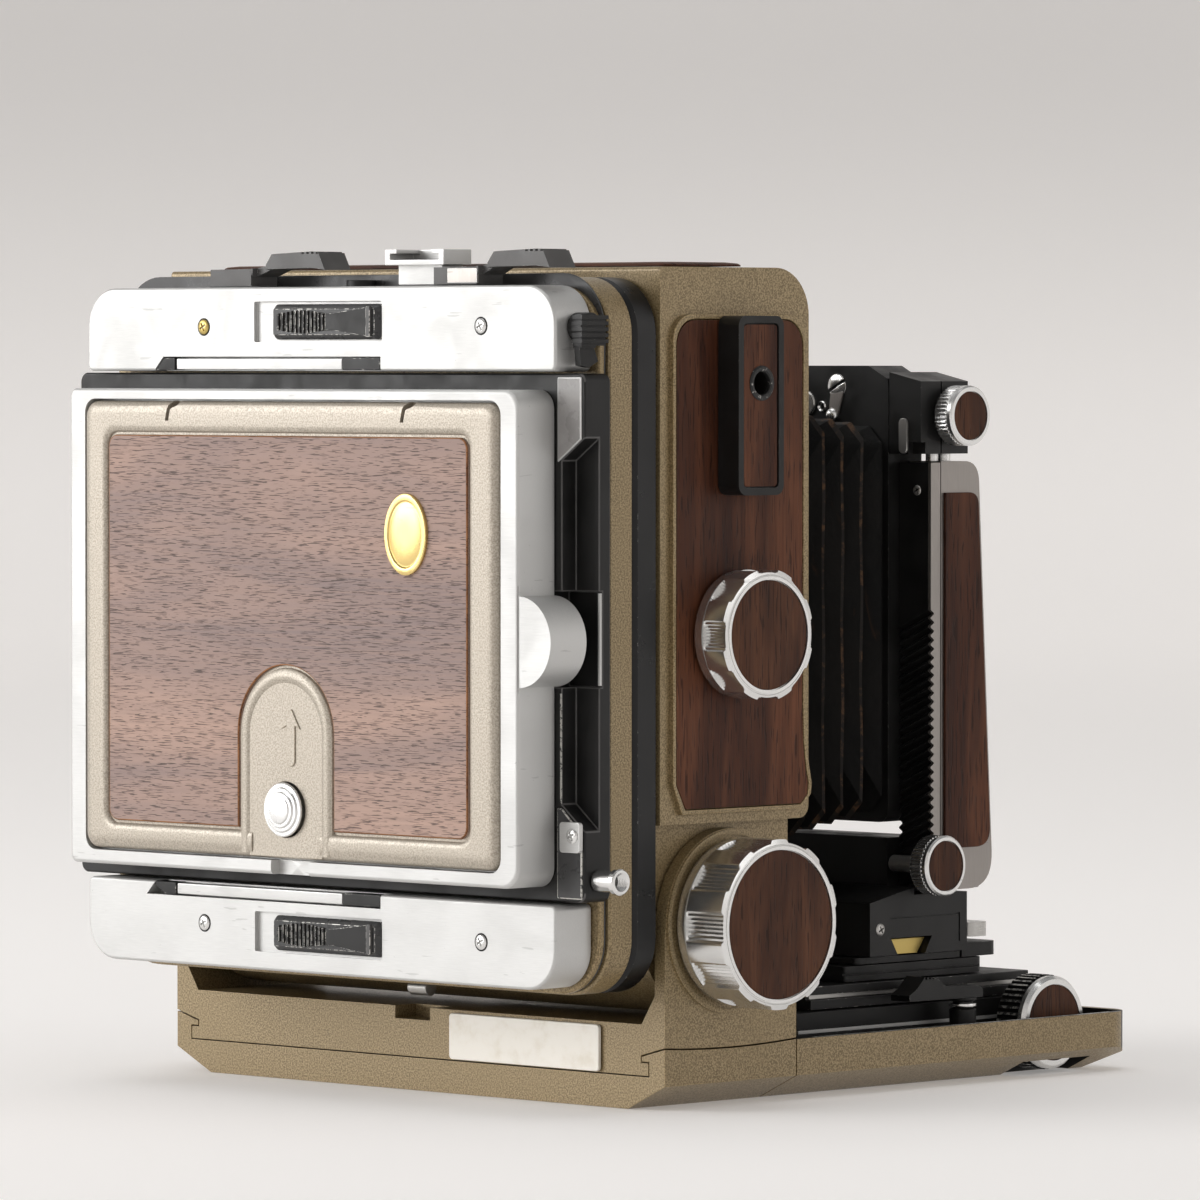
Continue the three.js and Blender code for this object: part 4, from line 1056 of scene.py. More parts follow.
def make_holder_plate():
    """Black plate, cut back beside the lobe: its upper corner is grey from a painted reflection, with
    painted highlights on its silver edges; its lower one is rubbed bare.
    """
    box = Span("holder_plate")
    edge = box.x1
    dent_x, dent_low, dent_high, mouth_low, mouth_high = 77.2, 71, 148.5, 63.5, 155

    def outline(inset):
        return box.around("y", inset, [2, 2.5, 2, 2])
    window = block(-62, 62, box.y0 - 5, box.y1 + 5, 58, 159)
    dent = prism([(dent_x, dent_low), (edge + 2, mouth_low), (edge + 2, mouth_high), (dent_x, dent_high)],
                 "y", box.y0 - 5, box.y0 + 4.6)
    notch = prism(rounded(74, BACK[2] - 11.0, edge + 3, BACK[2] + 10.6, 0.6), "y", box.y0 - 5,
                  box.y0 + 5.6)
    piece("holder_casting", slab(outline, "y", box.y1, box.y0, 0.5), [window, dent, notch], BLACK,
          "spring_back", 0.4,
          GREY, "holder_plate")
    slope = (mouth_high - dent_high) / (edge + 2 - dent_x)
    near, far = edge - 8.4, edge - 0.9
    top = [(x, dent_high + 0.3 + slope * (x - dent_x)) for x in (near, far)]
    top += [(far, box.z1 - 0.8), (near, box.z1 - 0.8)]
    # Upper corner: grey painted reflection of the key light on the black face; its bevelled edges are
    # silver as painted highlights.
    piece("corner_with_painted_reflection", prism(top, "y", box.y0 - 0.4, box.y0 + 0.2), [], REFLECTION_GREY_BLACK, "spring_back",
          0.35, SILVER)
    low = [(76.0, box.z0 + 0.8), (edge - 0.7, box.z0 + 0.8), (edge - 0.7, 64.4), (77.4, 70.2),
           (76.0, 70.2)]
    piece("rubbed_corner", prism(low, "y", box.y0 - 0.4, box.y0 + 0.2), [], DECK, "spring_back", 0.4,
          RUBBED)
    strip = block(edge - 0.7, edge - 0.2, box.y0 + 4.9, box.y0 + 5.7, BACK[2] - 10.6, BACK[2] + 10.2)
    piece("notch_strip", strip, [], SILVER, "spring_back", 0)
    piece("rubbed_edge", prism([(76.7, 71.6), (77.15, 71.2), (77.15, 96), (76.7, 96)], "y", box.y0 - 0.1,
                               box.y0 + 0.3), [],
          RUBBED, "spring_back", 0.05)
    bracket = Span("corner_bracket")
    piece("hinge_bracket", prism(bracket.around("y", 0, 0.8), "y", bracket.y0, bracket.y1), [], SILVER,
          "spring_back", 0.2, SILVER_EDGE,
          "corner_bracket")
    cross_screw("bracket_screw", (82.0, bracket.y0 - 0.05, 64.1), "y", -1, 1.7, "spring_back")
    stub = Span("side_stub")
    radius = (stub.z1 - stub.z0) / 2
    profile = [(0, stub.x0), (radius - 0.6, stub.x0), (radius - 0.6, stub.x1 - 1.6),
               (radius, stub.x1 - 1.4),
               (radius, stub.x1 - 0.3), (radius - 0.3, stub.x1), (radius - 0.9, stub.x1)]
    for i in range(6):
        profile += [(radius - 1.2, stub.x1 - 0.3 - i * 0.5), (radius - 0.85, stub.x1 - 0.5 - i * 0.5)]
    profile.append((0, stub.x1 - 3.6))
    piece("threaded_stub", turned(profile, "x", (0, stub.y, stub.z), 40), [], CHROME, "spring_back", 0,
          None, "side_stub")


def make_screen_frame():
    box = Span("screen_frame")
    half = FRAME_HALF
    cover = Span("hood_cover")

    def outline(inset):
        return rounded(-half + inset, box.z0 + inset, half - inset, box.z1 - inset, [1.6, 4.5, 4.5, 1.6],
                       10)
    lobe = rod("y", box.y0 + 0.15, box.y1, (half - 0.1, 0, BACK[2] - 0.6), 10.3, 72)
    recess = prism(rounded(cover.x0 - 0.45, cover.z0 - 0.5, cover.x1 + 0.45, cover.z1 + 0.5, 3.4), "y",
                   box.y0 - 3, box.y0 + 3.75)
    window = block(-60, 60, box.y0 - 5, box.y1 + 5, 60, 157)
    notch = rod("y", box.y0 - 3, box.y0 + 2.6, (0.6, 0, cover.z0 - 2.0), 6.4, 48)
    lobe_step = block(half - 0.4, half + 0.4, box.y0 - 1, box.y0 + 0.5, BACK[2] - 12, BACK[2] + 12)
    piece("screen_casting", [slab(outline, "y", box.y1, box.y0, 0.9), lobe],
          [recess, window, notch, lobe_step],
          SILVER, "spring_back", 0.22, SILVER_EDGE, "screen_frame")
    glass = Span("ground_glass")
    lines = [block(x, x + 0.25, glass.y0 - 0.02, glass.y0 + 0.05, glass.z0 + 3, glass.z1 - 3)
             for x in np.arange(-50, 51, 10)]
    pane = block(glass.x0, glass.x1, glass.y0, glass.y1, glass.z0, glass.z1)
    piece("focusing_glass", pane, [], GLASS, "spring_back", 0.15, None, "ground_glass")
    for k, line in enumerate(lines):
        piece(f"glass_line_{k}", line, [], SHADE_AND_GRID_BLACK, "spring_back", 0)


# ---------------------------------------------------------------- folding cover of the screen
BUTTON = Span("hood_button")


def make_cover():
    box = Span("hood_cover")
    y_back, y_face, y_floor = box.y1, box.y0, box.y0 + 1.15

    def outer(inset, y):
        return box.around("y", inset, max(3.5 - inset * 0.6, 0.8), 10), y

    def inner(grow, y):
        return rounded(-61.2 - grow, 62.2 - grow, 60.2 + grow, 154.2 + grow, 3.2 + grow * 0.5, 10), y
    rings = [outer(0, y_back), outer(0, y_face + 2.0), outer(0.25, y_face + 1.2),
             outer(0.8, y_face + 0.5),
             outer(1.7, y_face + 0.12), outer(2.9, y_face)]
    rings += [inner(1.6, y_face), inner(0.9, y_face + 0.1), inner(0.35, y_face + 0.4),
              inner(0.08, y_face + 0.8),
              inner(0, y_floor)]
    slits = []
    for x in (-38.6, 40.2):
        slits.append(prism([(x - 2.0, box.z1 - 4.6), (x - 0.9, box.z1 - 4.6), (x - 0.3, box.z1 - 1.8),
                            (x + 2.0, box.z1 - 0.9), (x + 2.0, box.z1 + 1), (x + 0.9, box.z1 + 1),
                            (x - 1.3, box.z1 - 1.0)], "y", y_face - 1, y_face + 3))
    channel = block(-11.2, 11.6, y_face - 1, y_face + 0.42, box.z0 - 1, 63)
    hole = rod("y", -75, -50, (BUTTON.x, 0, BUTTON.z), 6.5, 48)
    piece("cover_stamping", loft(rings, "y"), [*slits, channel, hole], COVER_GOLD, "hood", 0.12,
          COVER_EDGE,
          "hood_cover", 40)
    wood_top = prism(rounded(-60.6, 62.8, 59.6, 153.6, 2.8, 8), "y", y_face - 0.02 + 0.35, y_floor + 0.3)
    # Wood inlay of the cover: its pale colour is a painted sheen over dark rosewood.
    piece("hood_wood_painted_sheen", wood_top, [prism(arch(15.9, 50, 100.7), "y", -75, -50)], HOOD_WOOD_PAINTED_SHEEN, "hood",
          0.34, WOOD_EDGE, "cover_panel")
    path = arch(13.6, box.z0 + 1.0, 98.2)
    path = path[1:] + path[:1]
    piece("arch_bead", bead(path, 2.0, -1.35, "y", y_floor + 0.1), [], COVER_GOLD, "hood", 0)
    field = prism(arch(12.2, box.z0 + 0.4, 96.8), "y", y_face + 0.36, y_floor + 0.4)
    piece("arch_field", field, [hole], COVER_GOLD, "hood", 0.1, COVER_EDGE, "arch_plate")
    x, top, low = 1.9, 90.6, 77.4
    end = [(x + 1.45 * math.cos(a), low + 1.45 + 1.45 * math.sin(a))
           for a in np.linspace(math.pi, 2 * math.pi, 13)]
    arrow = [*end, (x + 1.45, top - 3.9), (x + 3.2, top - 4.6), (x + 0.3, top), (x - 0.3, top),
             (x - 3.2, top - 4.6),
             (x - 1.45, top - 3.9)]
    piece("opening_arrow", prism(arrow, "y", y_face + 0.02, y_face + 0.75), [], COVER_GOLD, "hood",
          0.22, COVER_EDGE)
    make_badge(Span("badge"))
    make_button()


def make_badge(box):
    """Plain brass oval with a raised rim and a low dome."""
    rx, rz = (box.x1 - box.x0) / 2, (box.z1 - box.z0) / 2
    rings = [(1.0, 0.6), (1.0, -0.75), (0.97, -0.95), (0.90, -1.0), (0.84, -0.95), (0.80, -0.62),
             (0.74, -0.62),
             (0.70, -0.78), (0.5, -0.93), (0.25, -1.0)]
    base = box.y0 + 0.98
    solid = loft([(ellipse(box.x, box.z, rx * k, rz * k, 64), base + d) for k, d in rings], "y")
    piece("oval_badge", solid, [], BADGE_BRASS, "hood", 0, None, "badge")


def make_button():
    """Stepped push button with fine concentric grooves."""
    tip = BUTTON.y0
    profile = [(0, tip), (2.6, tip), (3.1, tip + 0.12), (3.3, tip + 0.4), (3.9, tip + 0.42),
               (4.1, tip + 0.55),
               (4.3, tip + 0.85), (4.9, tip + 0.87), (5.1, tip + 1.0), (5.3, tip + 1.3),
               (6.0, tip + 1.32),
               (6.25, tip + 1.5), (6.3, tip + 1.75), (5.5, tip + 1.8), (5.5, BUTTON.y1), (0, BUTTON.y1)]
    piece("cover_button", turned(profile, "y", (BUTTON.x, 0, BUTTON.z), 80), [], CHROME, "hood_button", 0,
          None, "hood_button", 20)


make_holder_plate()
make_screen_frame()
make_cover()


# ---------------------------------------------------------------- bed and focusing drive
BED = Span("bed")
TRACK = Span("track")
FOCUS = joint_place("focus_turn")
WALL = 2.4
RIM = 14.1
BED_FLOOR = 3.0


def make_bed():
    half = BED.x1
    round_plan = rounded(-half, BED.y0, half, BED.y1, [0, 0, 9, 9], 14)
    bar = prism(edge_outline(half, RIM), "y", BED.y0, BED.y1)
    corners = []
    for side in (1, -1):
        corner = [p for p in round_plan if p[1] > BED.y1 - 9.2 and side * p[0] > half - 9.2]
        corner = corner if side > 0 else list(reversed(corner))
        corners.append(prism([*corner, (side * (half + 5), BED.y1 + 5)], "z", -5, 30))
    inside = half - WALL
    section = [(-inside, 8), (-FLAT_HALF + 1, BED_FLOOR), (FLAT_HALF - 1, BED_FLOOR), (inside, 8),
               (inside, 30),
               (-inside, 30)]
    hollow = prism(section, "y", BED.y0 + WALL, BED.y1 - WALL)
    room = block(-inside + 1, inside - 1, BED.y0 - 1, BED.y0 + 5, SEAT_FLOOR - 0.4, 30)
    slots = [side_block(side, 66.6, 77.2, FOCUS[1] - 12.2, FOCUS[1] + 12.2, -5, 20) for _, side in SIDES]
    slope = prism([(BED.y1 - 8.5, -1), (BED.y1 + 1, EDGE_RISE + 0.7), (BED.y1 + 1, -1)], "x", -90, 90)
    foot_room = turned([(0, 12.2), (LIP_RADIUS - CLEAR, 12.2), (90, 15.75), (90, 40), (0, 40)], "z",
                       (0, 0, 0), 160)
    cuts = [*corners, hollow, room, *slots, slope, foot_room]
    made = piece("bed_tray", bar, cuts, GOLD, "bed", 0.45, GOLD_EDGE, "bed")
    repaint(made, BLACK, lambda u, v, w, n: n.z < -0.95 or (n.z > -0.3 and abs(u) < half - 1.0
                                                      and BED.y0 + 0.4 < v < BED.y1 - 1.0))
    for label, side in SIDES:
        lip = side_block(side, half - WALL + 0.6, half - 0.7, BED.y0 + 6.8, BED.y1 - 9, RIM - 0.15,
                         RIM + 0.03)
        piece("tray_lip_" + label, lip, [], RUBBED, "bed", 0)
        rail = side_block(side, 50, 64, 41, 136, 2, 17.9)
        hole = rod("x", -70, 70, (0, FOCUS[1], FOCUS[2]), 3.2, 32)
        groove = side_block(side, 63.3, 65, 40, 137, 12.9, 13.9)
        piece("bed_rail_" + label, rail, [hole, groove], BLACK, "bed", 0.3, BLACK_EDGE)
        strip = side_block(side, 63.6, 64.1, 41.5, 135.5, 13.0, 13.8)
        piece("rail_strip_" + label, strip, [], SILVER, "bed", 0.05)


RACK_PITCH = 1.2


def make_track():
    """Focusing track: a plate with a window, side grooves and two toothed racks under it."""
    rack_low = TRACK.z0
    plate = block(TRACK.x0, TRACK.x1, TRACK.y0, TRACK.y1, 18.2, TRACK.z1)
    window = block(-36, 36, 56, 117, 10, 30)
    grooves = [side_block(side, TRACK.x1 - 1.8, TRACK.x1 + 2, 40, 130, 20.5, 21.7) for _, side in SIDES]
    racks = []
    for _, side in SIDES:
        teeth = [(50, 19.0)]
        for i in range(61):
            y = 50.4 + i * RACK_PITCH
            teeth += [(y, rack_low + 0.75), (y + 0.25, rack_low), (y + 0.6, rack_low),
                      (y + 0.85, rack_low + 0.75)]
        teeth += [(125, rack_low + 0.75), (125, 19.0)]
        racks.append(side_prism(teeth, side, 41, 47))
    piece("focus_track", [plate, *racks], [window, *grooves], BLACK, "track", 0.35, BLACK_EDGE, "track")
    for label, side in SIDES:
        line = side_block(side, TRACK.x1 - 1.9, TRACK.x1 - 1.5, 49, 124, 20.6, 21.6)
        piece("track_strip_" + label, line, [], STEEL, "track", 0.05)


def make_track_lock():
    box = Span("track_lock")
    axis = joint_place("track_lock_turn")
    post = turned([(0, box.z0), (3.2, box.z0), (3.2, 16.6), (2.4, 16.9), (2.4, 18.4), (3.4, 18.8),
                   (3.4, 19.4), (0, 19.4)],
                  "z", (axis[0], axis[1], 0), 48)
    side = [(box.y0 + 0.2, 19.6), (box.y0, 21.0), (box.y0 + 2.6, 22.4), (box.y0 + 5.5, box.z1),
            (box.y0 + 9.6, box.z1 - 0.5),
            (box.y0 + 13, 22.6), (box.y1 - 1, 22.2), (box.y1, 21.3), (box.y1, 19.4)]
    handle = prism(side, "x", axis[0] - 3.1, axis[0] + 2.9)
    teeth = [block(axis[0] - 4, axis[0] + 4, y, y + 0.6, box.z1 - 0.7, box.z1 + 1)
             for y in np.arange(box.y0 + 5.6, box.y0 + 9.4, 1.3)]
    piece("lock_handle", [handle, post], teeth, BLACK, "track_lock", 0.35, BLACK_EDGE, "track_lock")
    piece("lock_collar", tube("z", 17.2, 18.0, (axis[0], axis[1], 0), 3.3, 2.2), [], CHROME,
          "track_lock", 0.1)


FOCUS_RIBS = 44
PINION_TEETH = 20


def make_focus_drive():
    """Black ribbed knobs with a bright rim and a wooden face, on one shaft."""
    shaft = Span("focus_shaft")
    rod_part = rod("x", shaft.x0, shaft.x1, (0, FOCUS[1], FOCUS[2]), 2.5, 40)
    pinions = []
    for _, side in SIDES:
        gear = []
        for i in range(PINION_TEETH):
            for offset, radius in ((0, 4.0), (0.3, 4.0), (0.5, 3.2), (0.8, 3.2)):
                a = 2 * math.pi * (i + offset) / PINION_TEETH
                gear.append((FOCUS[1] + radius * math.cos(a), FOCUS[2] + radius * math.sin(a)))
        pinions.append(side_prism(gear, side, 40.5, 47.5))
    piece("focus_axle", [rod_part, *pinions], [], STEEL, "focus_drive", 0.1, None, "focus_shaft")
    for label, side in SIDES:
        inner, _, radius = knob_size("focus_knob_" + label)
        centre = (side * inner, FOCUS[1], FOCUS[2])

        def grip(angle, distance):
            tooth = max(0.0, min(1.0, 0.5 + 1.6 * math.cos(angle * FOCUS_RIBS)))
            return radius - (0.75 * tooth if 0.5 < abs(distance) < 6.75 else 0.0)

        def about(profile, steps, limit=None):
            return turned([(r, side * d) for r, d in profile], "x", centre, steps, limit)
        ribs = [(0, 0), (radius - 0.9, 0), (radius, 0.7), (radius, 6.6), (radius - 0.4, 6.9), (0, 6.9)]
        made = piece("focus_grip_" + label, about(ribs, 528, grip), [], BLACK, "focus_drive", 0, None,
                     "focus_knob_" + label, 30)
        repaint(made, RIB_EDGE, lambda u, v, w, n: math.hypot(v - FOCUS[1], w - FOCUS[2]) > radius - 0.12)
        rim = [(0, 6.92), (radius - 0.5, 6.92), (radius - 0.25, 7.2), (radius - 0.25, 8.3),
               (radius - 1.0, 9.2),
               (9.2, 9.2), (9.2, 8.7), (0, 8.7)]
        piece("focus_rim_" + label, about(rim, 96), [], CHROME, "focus_drive", 0)
        face = [(0, 8.72), (9.1, 8.72), (9.1, 8.95), (8.8, 9.15), (0, 9.2)]
        piece("focus_wood_" + label, about(face, 96), [], KNOB_WOOD, "focus_drive", 0)


make_bed()
make_track()
make_track_lock()
make_focus_drive()


# ---------------------------------------------------------------- front standard
SWING = joint_place("front_swing")
RISE = joint_place("rise_knob_right_turn")
FRONT_TILT = joint_place("front_tilt")
RACK = Span("rack_right")
RISER = Span("riser")
LENS = Span("lens_frame")
UPRIGHT_IN, UPRIGHT_OUT = RACK.x0, RACK.x1


def dovetail(grow, low, high):
    y = SWING[1]
    return [(y - 4.2 - grow, low), (y + 4.2 + grow, low), (y + 6.9 + grow, high), (y - 6.9 - grow, high)]


def make_carriage():
    box = Span("carriage_plate")
    plan = box.around("z", 0, [1, 1, 3, 3])
    hole = rod("z", 0, 60, (0, SWING[1], 0), 5.4)
    grooves = [side_block(side, box.x1 - 0.9, box.x1 + 2, box.y0 - 1, box.y1 + 1, 25.4, 26.0) for _,
               side in SIDES]
    piece("carriage", prism(plan, "z", box.z0, box.z1), [hole, *grooves], BLACK, "carriage", 0.3,
          BLACK_EDGE,
          "carriage_plate")
    plate = Span("swing_plate")
    table = prism(rounded(plate.x0, 66, plate.x1, 103.4, 1.5), "z", 27.9, 29.4)
    ear = prism(rounded(44, 103.2, 60, plate.y1, [0, 0, 3, 3]), "z", 27.9, plate.z1)
    pivot = rod("z", plate.z0, 28.5, (0, SWING[1], 0), 5)
    piece("swing_table_plate", [table, ear, pivot], [], BLACK, "swing_table", 0.25, BLACK_EDGE,
          "swing_plate")
    bar = Span("dovetail_bar")
    piece("cross_dovetail", prism(dovetail(0, bar.z0, bar.z1), "x", bar.x0, bar.x1), [], BRASS,
          "swing_table", 0.15,
          None, "dovetail_bar")
    lock = Span("swing_lock")
    axis = joint_place("swing_lock_turn")
    grip = lock.around("z", 0, 3)
    teeth = [block(lock.x0 + 2.4 + i * 1.3, lock.x0 + 3.0 + i * 1.3, lock.y0 - 1, lock.y0 + 2.2, lock.z0,
                   lock.z1 + 1)
             for i in range(6)]
    post = rod("z", lock.z0, 33, (axis[0], axis[1], 0), 2.4)
    piece("swing_lever", [prism(grip, "z", 32.6, lock.z1), post], teeth, STEEL, "swing_lock", 0.25, None,
          "swing_lock")


def make_cross_slide():
    box = Span("cross_slide")
    outline = [(box.y0, box.z0), (box.y1, box.z0), (box.y1, 43.8), (84, 43.8), (84, 45.6), (box.y0, 42.4)]
    bridge = block(-51.5, 51.5, 86, 100, 42.8, box.z1)
    cuts = [prism(dovetail(0.35, 29.3, 33.8), "x", -70, 70),
            block(-70, 70, SWING[1] - 4.8, SWING[1] + 4.8, 29, 30.5)]
    for _, side in SIDES:
        for y, z in ((box.y0 + 7, 38.4), (box.y1 - 3, 32)):
            cuts.append(side_block(side, UPRIGHT_OUT - 0.35, UPRIGHT_OUT + 1, y, box.y1 - 2.5, z, 38.9))
    piece("cross_block", [prism(outline, "x", box.x0, box.x1), bridge], cuts, BLACK, "cross_slide", 0.3,
          BLACK_EDGE,
          "cross_slide")
    for _, side in SIDES:
        cross_screw(f"cross_screw_{side}", (side * (UPRIGHT_OUT - 0.1), box.y0 + 3.6, 36.0), "x", side,
                    1.5, "cross_slide", STEEL)


def rack_teeth(lift=0.0):
    """Saw-tooth outline of the rack's rear edge in (Y, Z), its teeth raised by lift."""
    pitch, depth = 2.1, 1.1
    points = [(RACK.y1, RACK.z0), (RACK.y1, RACK.z1), (RACK.y0, RACK.z1)]
    z = 111.5 + lift
    while z > 57.5 + lift:
        points += [(RACK.y0, z), (RACK.y0 + depth, z - pitch * 0.35), (RACK.y0 + depth, z - pitch * 0.5),
                   (RACK.y0, z - pitch * 0.85)]
        z -= pitch
    points.append((RACK.y0, RACK.z0))
    return points


def make_racks():
    """Black racks with slanting teeth, bright along their outer side."""
    slant = 4.2
    face_end = UPRIGHT_OUT - 0.9
    for label, side in SIDES:
        ends = [(rack_teeth(-slant), side * UPRIGHT_IN), (rack_teeth(), side * face_end)]
        ends.sort(key=lambda end: end[1])
        piece("rack_bar_" + label, loft(ends, "x"), [], BLACK, "cross_slide", 0, None, "rack_" + label)
        piece("rack_side_" + label, side_prism(rack_teeth(), side, face_end + 0.02, UPRIGHT_OUT), [],
              SATIN,
              "cross_slide", 0)
        cross_screw("rack_screw_" + label, (side * (UPRIGHT_OUT - 4.5), RACK.y0 + 0.2, 140.0), "y", -1,
                    1.3,
                    "cross_slide", STEEL)


def arm_side(rear, low, high, front_low, front_high, low_radius, high_radius):
    """Side view of a riser arm: straight at the back, wider towards the bottom, rounded at the front."""
    slope = (front_high - front_low) / (high - low)
    a, b = (front_low, low), (front_high, high)

    def corner(start, control, end):
        turns = [i / 10 for i in range(11)]
        return [tuple((1 - t) ** 2 * p + 2 * t * (1 - t) * q + t * t * r for p, q,
                      r in zip(start, control, end))
                for t in turns]
    lower = corner((front_low - low_radius, low), a, (front_low + slope * low_radius, low + low_radius))
    upper = corner((front_high - slope * high_radius, high - high_radius), b,
                   (front_high - high_radius, high))
    return [(rear, low), *lower, *upper, (rear, high)]


def make_riser():
    y0, top = 93.4, 146.9
    bridge = prism(rounded(-UPRIGHT_OUT + 1, 44.4, UPRIGHT_OUT - 1, 50, 1), "y", 103.2, 108.4)
    arms = [side_prism(arm_side(y0, 44.4, top, RISER.y1, RISER.y1 - 5.4, 9, 5), side, UPRIGHT_IN,
                       UPRIGHT_OUT)
            for _, side in SIDES]
    piece("riser_casting", [bridge, *arms], [], SATIN, "riser", 0.5, SATIN, "riser")
    for label, side in SIDES:
        for k, y in enumerate((95.6, 100)):
            piece(f"riser_post_{label}_{k}", rod("z", top - 0.5, 149.2, (side * 57, y, 0), 1.5), [],
                  CHROME, "riser", 0.1)
        high_in, high_out = 168.2, 166
        ends = [(side * UPRIGHT_IN, 148.7), (side * UPRIGHT_OUT, 148.7), (side * UPRIGHT_OUT, high_out),
                (side * UPRIGHT_IN, high_in)]
        hole = side_rod(side, 50, 70, FRONT_TILT[1], FRONT_TILT[2], 2.4)
        split = side_block(side, UPRIGHT_OUT - 0.5, UPRIGHT_OUT + 1, 93.2, 93.6, 148, 169)
        nick = side_block(side, UPRIGHT_OUT - 4, UPRIGHT_OUT + 1, LENS.y0 - 1, LENS.y0 + 1.6, 148, 151.5)
        piece("head_block_" + label, prism(ends, "y", LENS.y0, 102.9), [hole, split, nick], BLACK,
              "riser", 0.6,
              BLACK_EDGE)
        tab = prism(rounded(-1.3, -4.2, 1.3, 4.2, 1.2), "y", LENS.y0 - 0.6, LENS.y0 + 0.2)
        tab = ([(x + side * 56.6, y, z + 153) for x, y, z in tab[0]], tab[1])
        piece("head_tab_" + label, tab, [], STEEL, "riser", 0.2)
        panel = Span("riser_panel_" + label)
        inner, outer = sorted((abs(panel.x0), abs(panel.x1)))
        outline = arm_side(panel.y0, panel.z0, panel.z1, panel.y1, panel.y1 - 4.6, 5, 3)
        piece("riser_wood_" + label, side_prism(outline, side, inner - 0.35, outer - 0.3), [], ROSEWOOD,
              "riser", 0.2,
              None, "riser_panel_" + label)


def make_small_knobs():
    for label, side in SIDES:
        knurled_knob("rise_knob_" + label, side, RISE[1:], 6.1, 5.8)
        knurled_knob("front_clamp_" + label, side, FRONT_TILT[1:], 5.9, 5.8)


def make_lens_frame():
    outline = LENS.around("y", 0, [3, 3, 5, 5])
    window = block(-43, 43, 80, 110, 67, 150)
    holes = [side_rod(side, 45, 60, FRONT_TILT[1], FRONT_TILT[2], 2.4) for _, side in SIDES]
    cap_cut = prism([(-52, 166.2), (-45, 169.75), (-52, 171)], "y", 80, 100)
    cap_cut_b = prism([(52, 166.2), (52, 171), (45, 169.75)], "y", 80, 100)
    seam = block(-47, 47, LENS.y0 - 1, LENS.y0 + 0.5, 151.6, 152.1)
    piece("lens_casting", prism(outline, "y", LENS.y0, LENS.y1),
          [window, *holes, cap_cut, cap_cut_b, seam],
                 BLACK, "lens_frame", 0.6, BLACK_EDGE, "lens_frame")
    face = LENS.y0
    for name, x in (("slotted", 34.8), ("left", -34.8)):
        cross_screw("cap_screw_" + name, (x, face, 164.8), "y", -1, 2.95, "lens_frame", CHROME, True)
    disc = [(0, 0.3), (3.0, 0.3), (3.0, -0.5), (2.7, -0.8), (0, -0.8)]
    eye = [(0.7, 0.2), (1.35, 0.2), (1.35, -0.7), (1.1, -0.95), (0.85, -0.7), (0.7, -0.5)]
    turns = [math.radians(a) for a in range(0, 181, 12)]
    ball = [(1.75 * math.sin(a), -0.9 - 1.5 * math.cos(a)) for a in turns]
    for name, profile, place, steps, metal in (("disc", disc, (25.0, face, 160.6), 40, STEEL),
                                               ("eye", eye, (30.4, face, 159.9), 32, CHROME),
                                               ("ball", ball, (33.6, face + 0.6, 157.9), 32, CHROME)):
        piece("cap_" + name, turned(profile, "y", place, steps), [], metal, "lens_frame", 0)
    link = prism([(32.4, 158.2), (35.4, 157.9), (37.2, 163.6), (33.0, 163.2)], "y", face - 0.5,
                 face + 0.3)
    piece("cap_link", link, [], SATIN, "lens_frame", 0.2)
    board = Span("lens_board")
    plate = prism(board.around("y", 0, 3), "y", board.y0, board.y1)
    hole = rod("y", 80, 120, (0, 0, BACK[2]), 17.3, 96)
    ring_cut = tube("y", board.y1 - 0.5, board.y1 + 1, (0, 0, BACK[2]), 38, 37.2, 96)
    piece("lens_panel", plate, [hole, ring_cut], BLACK, "lens_frame", 0.3, BLACK_EDGE, "lens_board")
    for across, x in (("l", -44.5), ("r", 44.5)):
        for level, z in (("low", board.z0 + 4), ("high", board.z1 - 4)):
            cross_screw(f"board_screw_{across}_{level}", (x, board.y1, z), "y", 1, 1.7, "lens_frame",
                        STEEL)
    for z, label in ((board.z1 - 0.6, "top"), (board.z0 + 0.2, "bottom")):
        bar = block(-34, 34, board.y1 - 0.05, board.y1 + 1.1, z - 2.4, z + 1.0)
        piece("board_clip_" + label, bar, [], GREY, "lens_frame", 0.3, GREY_EDGE)


make_carriage()
make_cross_slide()
make_racks()
make_riser()
make_small_knobs()
make_lens_frame()


# ---------------------------------------------------------------- bellows
CUTS = [-15.0, 4.5, 18.0, 29.5, 39.5, 51.0, 60.7, 63.7, 74.7, 85.7]
PLEATS = 13
PLEAT_RUN = (CUTS[-1] - CUTS[0]) / PLEATS
CREASE_SHARE = 0.06
FOLD = 7.0


def bellows_outline(share, depth):
    """Outline in (X, Z) at a share of the length; depth is how far the fold is drawn in."""
    half = (1 - share) * 63.2 + share * 49.8
    low = (1 - share) * 49.6 + share * 62.6
    high = (1 - share) * 166.4 + share * 155.4
    x, z0, z1 = half - depth, low + depth, high - depth
    chamfer = 4.0 + depth * 0.9
    corners = [(x - chamfer, z0), (x, z0 + chamfer), (x, z1 - chamfer), (x - chamfer, z1),
               (-x + chamfer, z1), (-x, z1 - chamfer), (-x, z0 + chamfer), (-x + chamfer, z0)]
    points, pieces_per_side = [], 6
    for a, b in zip(corners, corners[1:] + corners[:1]):
        long_side = abs(a[0] - b[0]) + abs(a[1] - b[1]) > 30
        count = pieces_per_side * 2 if long_side else 2
        for i in range(count):
            t = i / count
            points.append((a[0] + (b[0] - a[0]) * t, a[1] + (b[1] - a[1]) * t))
    return points


